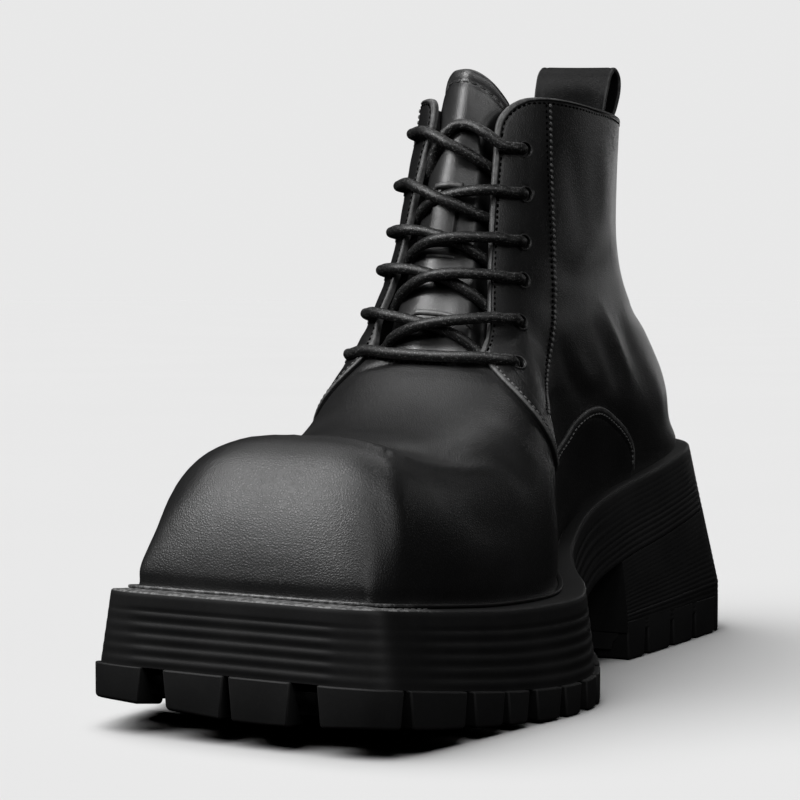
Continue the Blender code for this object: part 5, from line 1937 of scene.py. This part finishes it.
@dataclass
class Tongue:
    """The padded tongue, stitched along its top, with a slit keeper for the lace."""

    leather: Material
    needle: Needle
    thickness: float = 2.6
    depth: float = 3.5
    under_facing: float = 2.8
    tall: float = 118.0
    half_width: float = 17.0
    stitch_share: float = 0.962
    slit: float = 168.6
    # along, height, middle, half
    rows: tuple = (
        (105.0, 96.0, -3.0, 20.0), (113.0, 101.0, -3.0, 21.5), (119.0, 107.0, -3.0, 22.5),
        (126.0, 120.0, -3.0, 22.5), (134.0, 141.0, -3.0, 21.5), (142.0, 168.0, -2.4, 20.0),
        (148.0, 190.0, -0.6, 17.0), (153.0, 212.3, -0.1, 14.4),
    )
    # name, ends across, lowest and highest height, how much higher its medial end is, thickness
    patches: tuple = (
        ("keeper_strap", -0.36, 0.13, 148.5, 166.0, 1.4, 1.3),
        ("keeper_lip", -0.42, 0.15, 169.4, 171.4, 1.8, 0.95),
        ("keeper_foot", -0.34, 0.2, 145.2, 146.4, 0.8, 0.7),
        ("low_lip", -0.3, 0.7, 121.0, 123.2, 0.2, 0.95),
    )

    def __post_init__(self) -> None:
        """Lays the tongue's middle line."""
        self.line = smooth_rows(self.rows, 300)
        self.share = np.linspace(0.0, 1.0, 300)

    def point(self, across: Array, share: Array) -> tuple[Array, Array]:
        """Points on the tongue's plain face.

        Args:
            across: from -1 at the lateral edge to 1 at the medial edge.
            share: from 0 at the foot to 1 at the top.

        Returns:
            The points, and their normals.
        """
        square = 6.5 * np.clip(-across, 0.0, 1.0) ** 10
        slope = 5.1 * np.clip(across + 0.5, 0.0, 2.0) ** 2.2
        share = share * (1.0 - (square + slope) / self.tall)
        along, height, middle, half = sampled(self.line, self.share, share).T
        surface = FORM.onto_surface(np.stack([middle + across * half, along, height], axis=1))
        return surface, FORM.outward(surface)

    def sunk(self, points: Array) -> Array:
        """How far the face lies under the form: deeper where the facings press on it.

        Args:
            points: points on the form.

        Returns:
            The depth at each.
        """
        out = np.abs(points[:, 0] - FORM.shaft_middle(points[:, 2]))
        edge = FORM.facing(Side.MEDIAL, points[:, 2])
        free = soft_step(points[:, 2], 186.0, 199.0)
        return self.depth + self.under_facing * soft_step(out - edge, -5.0, 0.5) * (1.0 - free)

    def face(self, across: Array, share: Array, lift: Array) -> Array:
        """Points over the tongue's soft face.

        Args:
            across: from -1 at the lateral edge to 1 at the medial edge.
            share: from 0 at the foot to 1 at the top.
            lift: how far above the face.

        Returns:
            The points.
        """
        points, normal = self.point(across, share)
        ridge = 0.5 * bump(across + 0.25, 0.28) - 0.35 * bump(across - 0.2, 0.2)
        waves = 0.35 * np.sin(share * 23.0 + across * 1.5) * (1.0 - np.abs(across))
        return points + normal * (lift + ridge + waves - self.sunk(points))[:, None]

    def patch(self, name: str, start: float, end: float, low: float, high: float, tilt: float,
              thick: float) -> Piece:
        """A raised strap or lip on the tongue.

        Args:
            name: its name.
            start: where it starts across, -1 to 1.
            end: where it ends across.
            low: its lowest height at its lateral end.
            high: its highest height there.
            tilt: how much higher its medial end is.
            thick: how far it stands off the face.

        Returns:
            The strap, with rounded edges.
        """
        steps = np.linspace(0.0, 1.0, 25)
        out, up = (grid.ravel() for grid in np.meshgrid(steps, steps, indexing="ij"))
        across = start + out * (end - start)
        share = np.interp(low + up * (high - low) + tilt * out, self.line[:, 1], self.share)
        near = np.minimum((0.5 - np.abs(out - 0.5)) * 20.0 * (end - start),
                          (0.5 - np.abs(up - 0.5)) * (high - low))
        edge = np.clip(near / 0.9, 0.0, 1.0)
        lift = thick * np.sqrt(edge * (2.0 - edge))
        front, back = (self.face(across, share, level).reshape(25, 25, 3)
                       for level in (lift, np.full_like(lift, -0.6)))
        made = Solid(name, self.leather, 50.0).slab(front, back)
        paint_on(made, "wear_and_sheen", np.tile(0.8 * (thick < 1.0) + 0.5 * bump(near - 0.5, 0.5), 2))
        return made

    def stitches(self) -> Piece:
        """The row of stitching along the top.

        Returns:
            The row.
        """
        across = np.linspace(-0.88, 0.9, 60)
        share = np.full(60, self.stitch_share)
        path = self.face(across, share, np.full(60, -0.35))
        return self.needle.sew("tongue_row", path, self.point(across, share)[1], 0.25)

    def build(self) -> None:
        """Makes the tongue."""
        ends = [-1, -0.985, -0.965, 0.965, 0.985, 1]
        across = np.unique(np.concatenate([np.linspace(-0.94, 0.94, 61), ends]))
        levels = np.concatenate([np.linspace(0.0, 0.98, 110), [0.986, 0.992, 0.9965, 1.0]])
        t, s = (grid.ravel() for grid in np.meshgrid(across, levels, indexing="ij"))
        radius = 0.5 * self.thickness
        side, end = (1.0 - (1.0 - np.clip(gap / radius, 0.0, 1.0)) ** 2 for gap in (
            (1.0 - np.abs(t)) * self.half_width, (1.0 - s) * self.tall))
        half = radius * np.maximum(np.sqrt(side * end), 0.05)
        groove = 0.45 * bump((s - self.stitch_share) * self.tall, 0.9)
        high = np.interp(s, self.share, self.line[:, 1])
        inside = soft_step(t, -0.5, -0.42) * (1.0 - soft_step(t, 0.17, 0.24))
        groove = groove + 1.3 * bump(high - self.slit - 2.8 * (t + 0.42), 0.55) * inside
        front, back = (self.face(t, s, lift - radius).reshape(len(across), len(levels), 3)
                       for lift in (half - groove, -half))
        body = Solid("tongue_body", self.leather, 60.0).slab(front, back)
        paint_on(body, "wear_and_sheen", np.tile(np.where(1.0 - s < 0.012, 0.3, 0.0), 2))
        parts = [body, *(self.patch(*row) for row in self.patches), self.stitches()]
        settle_piece(joined(parts, "tongue_piece"), "tongue_leather", "tongue")


@dataclass
class PullLoop:
    """The folded strap that stands over the back of the collar."""

    leather: Material
    width: float = 31.0
    shift: float = -1.5
    strap: float = 1.8
    collar: float = 195.0
    steps: int = 110
    # distance out from the collar wall's middle, height, how much it follows the wall's curve
    rows: tuple = (
        (-3.1, 180.0, 1.0), (-3.1, 196.0, 1.0), (-4.6, 203.0, 0.5), (-5.2, 211.0, 0.1),
        (-4.0, 215.6, 0.0), (0.0, 218.2, 0.0), (4.0, 215.6, 0.0), (5.2, 210.5, 0.1),
        (4.6, 203.0, 0.5), (2.75, 196.0, 1.0), (2.75, 186.0, 1.0),
    )

    def back(self, across: Values, height: Array) -> Array:
        """Where the back of the shaft is.

        Args:
            across: distance across.
            height: heights; above the collar it counts as the collar's.

        Returns:
            The distance along at each height.
        """
        height = np.minimum(height, self.collar)
        start = np.stack([np.full_like(height, across), np.full_like(height, 200.0), height], axis=1)
        return FORM.between(start, np.broadcast_to([0.0, 90.0, 0.0], start.shape))[:, 1]

    def sheet(self, path: Array, out: float, lift: Array) -> Array:
        """A line down the strap.

        Args:
            path: the strap's middle layer, rows as in the table.
            out: distance from the strap's middle.
            lift: distance off its middle layer.

        Returns:
            The line's points.
        """
        off, height, follow = path.T
        run = unit(np.gradient(path[:, :2], axis=0))
        middle = float(FORM.shaft_middle(self.collar)) + self.shift
        height = height - run[:, 0] * lift - 0.045 * out * (1.0 - follow)
        across = middle + out * (1.0 - 0.13 * follow)
        bend = self.back(across, height) - self.back(middle, height)
        slope = self.back(across + 0.5, height) - self.back(across - 0.5, height)
        stretch = 1.0 + (np.hypot(1.0, slope) - 1.0) * follow
        off = (off - 0.5 * FORM.WALL + run[:, 1] * lift) * stretch
        return np.stack([across, self.back(middle, height) + bend * follow + off, height], axis=1)

    def build(self) -> None:
        """Makes the strap, thinner along a line beside each rounded edge."""
        path = smooth_rows(self.rows, self.steps)
        edge = 0.5 * self.width
        outs = np.concatenate([[-edge, -edge + 0.15, -edge + 0.45], np.linspace(-edge + 1, edge - 1, 27),
                               [edge - 0.45, edge - 0.15, edge]])
        number = np.arange(self.steps)
        ends = np.clip(np.minimum(number, number[::-1]) / 2.0, 0.15, 1.0)
        front, back = [], []
        for out in outs:
            near = np.clip((edge - abs(out)) / 0.9, 0.0, 1.0)
            half = 0.5 * self.strap * max(np.sqrt(1.0 - (1.0 - near) ** 2), 0.05)
            groove = 0.22 * bump(edge - abs(out) - 2.0, 0.6)
            sag = 0.2 * np.sin(path[:, 1] * 0.5) * (1.0 - path[:, 2]) * (1.0 - (out / edge) ** 2)
            front.append(self.sheet(path, out, (half - groove) * ends + sag))
            back.append(self.sheet(path, out, -(half - groove) * ends + sag))
        strap = Solid("loop_piece", self.leather, 60.0).slab(np.stack(front), np.stack(back))
        wear_and_sheen = np.repeat(np.where(edge - np.abs(outs) < 0.6, 0.6, 0.0), self.steps)
        paint_on(strap, "wear_and_sheen", np.tile(wear_and_sheen, 2))
        settle_piece(strap, "loop_leather", "pull_loop")


# Lace

@dataclass
class Lace:
    """One round waxed lace, run through all the eyelets, with its ends inside the top pair.

    Its way is worked out as rows of distance out from the shaft's middle, height, and lift off
    the leather.
    """

    finish: Material
    diameter: float = 3.8
    sides: int = 30
    step: float = 0.46
    curve_rows: int = 9000
    plait: float = 2.76
    strands: float = 6.0
    over_facing: float = 2.75
    under_facing: float = -4.4
    # bow of the strand that goes up to the medial side, and of the other, from the top
    bows: tuple = ((12.5, 1.8), (3.6, 0.4), (3.0, 4.2), (4.2, 4.4), (2.2, 2.6))
    lateral_over: tuple[bool, ...] = (True, True, False, False, False)
    # distance back from the eyelet's middle, lift
    through: tuple = ((4.2, 2.7), (2.1, 2.4), (0.75, 0.5), (0.45, -1.6), (1.0, -3.6))

    def into(self, row: int, side: Side) -> list[Triple]:
        """Rows from over a facing, through its eyelet, to inside."""
        out, high = eyelet_spot(row, side)
        return [(side.value * (out - back), high, lift) for back, lift in self.through]

    def strand(self, row: int, side: Side) -> list[Triple]:
        """Rows of one strand.

        Args:
            row: the row of eyelets that the strand goes up to.
            side: the side that it goes to.

        Returns:
            Rows from inside the opposite eyelet one row lower to over this side's facing.
        """
        other = side.other
        (start, low), high = eyelet_spot(row + 1, other), eyelet_spot(row, side)[1]
        edge = other.value * FORM.facing(other, low)
        far = side.value * FORM.facing(side, high)
        over = self.lateral_over[row] == (side is Side.LATERAL)
        cross = 2.3 if over else -1.35
        rise = high - low
        bow = self.bows[row][side.column - 1]
        # distance out, how far up the way from edge to edge, lift
        way = (
            (edge + other.value * 0.5, 0.0, self.under_facing),
            (0.72 * edge, 0.14, -1.7 if over else -2.2),
            (0.36 * edge, 0.32, 0.5 * cross - 0.6),
            (0.0, 0.5, cross),
            (0.42 * far, 0.7, cross + 0.2 if over else -0.4),
            (0.8 * far, 0.88, 2.9 if over else 1.9),
        )
        return [
            (other.value * (start - 3.0), low + 0.12 * rise, self.under_facing),
            *((out, low + rise * (0.42 + 0.58 * up) + bow * np.sin(np.pi * up) ** 0.8, lift)
              for out, up, lift in way),
            (far + side.value * 1.8, high + 0.4, self.over_facing + 0.15),
        ]

    def half(self, side: Side) -> list[Triple]:
        """Rows from the middle of the bottom bar to the top.

        Args:
            side: the side that it starts on.

        Returns:
            The rows, which end just inside the top eyelet.
        """
        last = len(EYELETS) - 1
        low = eyelet_spot(last, Side.MEDIAL)[1]
        drop = 0.5 * (eyelet_spot(last, Side.LATERAL)[1] - low) + 0.9
        out = side.value * eyelet_spot(last, side)[0]
        rows = [(share * out, low + drop * (1.0 - side.value * share), self.over_facing + lift)
                for share, lift in ((0.0, -0.4), (0.35, -0.3), (0.68, 0.1))]
        rows += self.into(last, side)
        for row in range(last - 1, -1, -1):
            side = side.other
            rows += self.strand(row, side) + self.into(row, side)
        out, high = eyelet_spot(0, side)
        return rows + [(side.value * (out - 4.0), high - 3.0, self.under_facing)]

    def path(self) -> Array:
        """The lace's middle line.

        Returns:
            Its points, one for each step.
        """
        start, end = (self.half(side) for side in Side)
        anchors = FORM.front_points(start[::-1] + end[1:])
        curve = curve_through(anchors, self.curve_rows, 3)
        return spaced(curve, int(progress(curve, measured=3)[-1] / self.step), measured=3)

    def build(self) -> None:
        """Makes the braided tube."""
        path = self.path()
        travelled = progress(path, measured=3)
        LOG.info("lace: %.0f mm long", travelled[-1])
        run = unit(np.gradient(path, axis=0))
        across = [unit(np.cross(run[0], (0.0, 0.3, 1.0)))]
        for heading in run[1:]:
            across.append(unit(across[-1] - heading * np.dot(across[-1], heading)))
        first = np.array(across)
        second = np.cross(run, first)
        angle = np.linspace(0.0, 2.0 * np.pi, self.sides, endpoint=False)
        turn = 2.0 * np.pi * travelled[:, None] / self.plait
        weave = 0.5 + 0.5 * np.maximum(*(np.sin(self.strands * angle + way * turn) for way in (1, -1)))
        ends = np.minimum(travelled, travelled[-1] - travelled)
        radius = 0.5 * self.diameter * (0.984 + 0.016 * weave)
        radius = radius * np.sqrt(np.clip(ends / 1.2, 0.02, 1.0))[:, None]
        around = np.cos(angle)[:, None] * first[:, None] + np.sin(angle)[:, None] * second[:, None]
        made = Solid("lace", self.finish, 180.0).rings(path[:, None] + radius[..., None] * around)
        paint_on(made, "weave", weave)
        crossings = [f"lace_cross_{number}" for number in range(1, len(EYELETS))]
        settle_piece(made, "waxed_lace", "lace_bar", *crossings)


# Stitching on the upper

@dataclass
class Seams:
    """Every row of stitches on the upper, and the one on the platform's top round the toe."""

    pale: Material
    shade_thread: Material
    welt: Welt
    ledge_end: float = 34.0
    # length, gap, width and height of one stitch
    plain: tuple = (1.7, 0.4, 0.72, 0.6)
    bead: tuple = (1.75, 0.3, 1.25, 0.9)
    ledge: tuple = (2.6, 0.4, 0.72, 0.6)
    hole: tuple = (1.15, 0.85, 1.0, 0.5)
    dash: tuple = (1.45, 0.65, 0.85, 0.6)

    def __post_init__(self) -> None:
        """Threads a needle for each kind of stitch."""
        # The pale needles sew with a copy of the black thread painted paler, as a painted highlight.
        self.plains, self.beads, self.ledges = (
            Needle(self.pale, *sizes) for sizes in (self.plain, self.bead, self.ledge))
        # The dark needles sew with a painted-shade copy of the black thread, near black and without gloss.
        self.holes, self.dashes = (Needle(self.shade_thread, *sizes) for sizes in (self.hole, self.dash))

    def opening(self, side: Side) -> SurfaceLine:
        """The edge of the facing and collar.

        Args:
            side: the side that it is on.

        Returns:
            A line whose side direction points down.
        """
        edge = FORM.onto_surface(FORM.opening_point(side, np.linspace(0.03, 0.999, 500)))
        edge = spaced(edge, 420, measured=3)
        line = SurfaceLine(edge, 1.0)
        return SurfaceLine(edge, -1.0) if line.side[300, 2] > 0.0 else line

    def build(self) -> None:
        """Sews them all."""
        made = []
        for side in Side:
            seam = SurfaceLine.through(SEAM, side, 1.0, 260)
            quarter = SurfaceLine.through(QUARTER_EDGE, side, 1.0, 200)
            arch = SurfaceLine.through(ARCH[1:], side, -1.0, 260)
            # name, needle, line, lift, whether over the panels, sink, turn
            for name, needle, line, lift, panels, sink, turn in (
                ("edge_row", self.dashes, self.opening(side).moved(1.75), 0.0, True, 0.42, 0.0),
                ("quarter", self.plains, quarter.moved(1.7, 1.0, 3.0), 1.55, False, 0.22, 0.0),
                ("seam", self.beads, seam.moved(0.35, 4.0, 1.0), 0.15, True, 0.2, 34.0),
                # Painted shade: a row of near-black marks without gloss where the seam's stitch holes are.
                ("seam_hole_shade", self.holes, seam.moved(-1.15, 4.0, 1.0), 0.0, True, 0.28, 0.0),
                ("arch", self.plains, arch.moved(2.6, 1.0, 2.0), 1.05, False, 0.12, 0.0),
            ):
                path = RELIEF.over(line, lift, panels)
                made.append(needle.sew(f"{name}_{side.name.lower()}", path, line.normal, sink, turn))
        rows = np.linspace(0.0, len(FORM.row) - 1.0, 1200)
        for side, level in zip(Side, resting(self.welt.lines(1.0, 0.8), 0.0, rows)):
            level = level[level[:, 1] < self.ledge_end]
            up = np.tile([0.0, 0.0, 1.0], (len(level), 1))
            made.append(self.ledges.sew(f"ledge_{side.name.lower()}", level, up, 0.25))
        settle_piece(joined(made, "seam_stitches"), "black_leather")


# Studio

BOOT, TOE, ANKLE = (0.0, -0.02, 0.09), (0.0, -0.12, 0.07), (0.0, 0.07, 0.16)


@dataclass
class Studio:
    """The floor, the soft lights and the camera, in the frame's metres."""

    eye: Triple = (0.3716, -0.7182, 0.138)
    ahead: Triple = (-0.3907, 0.9205, 0.0)
    aim: tuple[float, float] = (-0.1114, -0.0529)
    lens: float = 104.0
    reach: float = 14.0
    # place, aim, size, power
    lights: tuple = (
        ((-0.225, -0.388, 0.676), TOE, 0.2, 1.3), ((-0.37, -0.455, 0.546), TOE, 0.12, 2.3),
        ((-0.39, -0.584, 0.42), TOE, 0.2, 0.4),
        ((0.12, -0.449, 0.676), TOE, 0.2, 0.8), ((-0.813, -0.833, 1.054), BOOT, 0.5, 0.7),
        ((-0.61, -0.372, 1.414), BOOT, 0.5, 3.2), ((0.813, -0.833, 1.054), BOOT, 0.5, 3.2),
        ((1.302, -0.559, 0.603), BOOT, 0.5, 2.5), ((-0.61, 0.332, 1.414), BOOT, 0.5, 2.1),
        ((0.0, 0.684, 1.414), BOOT, 0.5, 3.1), ((-0.057, 0.617, 0.16), ANKLE, 0.16, 0.15),
        ((0.236, 0.554, 0.274), ANKLE, 0.16, 0.1),
    )
    # heading, strength, spread in degrees
    sun: tuple = ((-0.35, -0.2, 1.0), 3.39, 70.0)

    def floor(self) -> None:
        """A wide pale matte floor, and what lets it have light of its own."""
        mesh = bpy.data.meshes.new("studio_floor")
        turn = np.linspace(0.0, 2.0 * np.pi, 97)[:-1]
        rim = [(self.reach * np.cos(t), self.reach * np.sin(t), 0.0) for t in turn]
        mesh.from_pydata(rim, [], [tuple(range(len(rim)))])
        paint = Paint("studio_white", 0.9, 0.0)
        paint.feed("Base Color", paint.mixed(paint.noise(300.0, 1.0), grey(0.80), grey(0.82)))
        mesh.materials.append(paint.material)
        made = put("studio_floor", mesh)
        made.visible_glossy = made.visible_diffuse = False
        self.floor_only, self.boot_only = (
            bpy.data.collections.new(name) for name in ("floor only", "all but the floor"))
        for group in (self.floor_only, self.boot_only):
            group.objects.link(made)
        self.boot_only.collection_objects[0].light_linking.link_state = "EXCLUDE"

    @staticmethod
    def facing(name: str, data: bpy.types.ID, place: Vector, heading: Vector) -> Piece:
        """Sets a light or the camera in its place.

        Args:
            name: its name.
            data: the light or camera.
            place: where it goes.
            heading: which way it faces.

        Returns:
            The object.
        """
        made = put(name, data)
        made.location = place
        made.rotation_euler = heading.to_track_quat("-Z", "Y").to_euler()
        return made

    def shine(self) -> None:
        """Soft lights round the boot, a sun for the floor alone, and a pale sky."""
        for number, (place, aim, size, power) in enumerate(self.lights):
            lamp = bpy.data.lights.new(f"softbox_{number}", "AREA")
            lamp.size, lamp.energy = size, power
            made = self.facing(lamp.name, lamp, Vector(place), Vector(aim) - Vector(place))
            made.visible_camera = False
            made.light_linking.receiver_collection = self.boot_only
        heading, strength, spread = self.sun
        lamp = bpy.data.lights.new("ceiling", "SUN")
        lamp.energy, lamp.angle = strength, np.radians(spread)
        made = self.facing("ceiling", lamp, Vector(), -Vector(heading))
        made.light_linking.receiver_collection = self.floor_only
        world = bpy.data.worlds.new("pale room")
        world.use_nodes = True
        world.node_tree.nodes["Background"].inputs["Color"].default_value = (*grey(0.81), 1.0)
        world.cycles_visibility.diffuse = world.cycles_visibility.glossy = False
        bpy.context.scene.world = world

    def look(self) -> None:
        """The camera at the photograph's angle."""
        camera = bpy.data.cameras.new("camera")
        camera.lens = self.lens
        camera.sensor_width = 36.0
        up = Vector((0.0, 0.0, 1.0))
        ahead = Vector(self.ahead).normalized()
        heading = ahead + ahead.cross(up) * self.aim[0] + up * self.aim[1]
        bpy.context.scene.camera = self.facing("camera", camera, Vector(self.eye), heading)
        bpy.context.scene.view_settings.view_transform = "Standard"

    def build(self) -> None:
        """Sets everything up."""
        self.floor()
        self.shine()
        self.look()


def main() -> None:
    """Builds and dresses the boot, in order."""
    logging.basicConfig(level=logging.INFO, format="%(name)s %(message)s")
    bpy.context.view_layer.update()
    Studio().build()
    Sole(Rubber("platform rubber").make()).build()
    tread = Rubber("tread rubber", matt=0.62).make()
    blocks = Repeat("tread blocks", rounded=False)
    for zone in Zone:
        Tread(tread, zone).build(blocks)
    welt = Welt(Rubber("welt rubber", matt=0.42).make())
    welt.build()
    Insole(Lining("insole cloth", colour=grey(0.02), weave=0.9).make()).build()
    Upper(Leather("black leather").make(), Lining("black lining").make()).build()
    needle = Needle(Thread("black thread").make())
    Tongue(Leather("tongue leather", grain=0.75, shine=0.27, depth=0.035).make(), needle).build()
    PullLoop(Leather("loop leather", grain=0.6, gloss=0.1).make()).build()
    Lace(Braid("waxed lace").make()).build()
    # A copy of the black thread painted paler, as a painted highlight.
    pale = Thread("lit thread", colour=grey(0.04), pale=grey(0.19), matt=0.4)
    # A copy of the black thread painted near black and without gloss, as painted shade.
    shade_thread = Thread("shaded thread", colour=grey(0.001), pale=grey(0.003), matt=0.95, gloss=0.0)
    Seams(pale.make(), shade_thread.make(), welt).build()


if __name__ == "__main__":
    main()
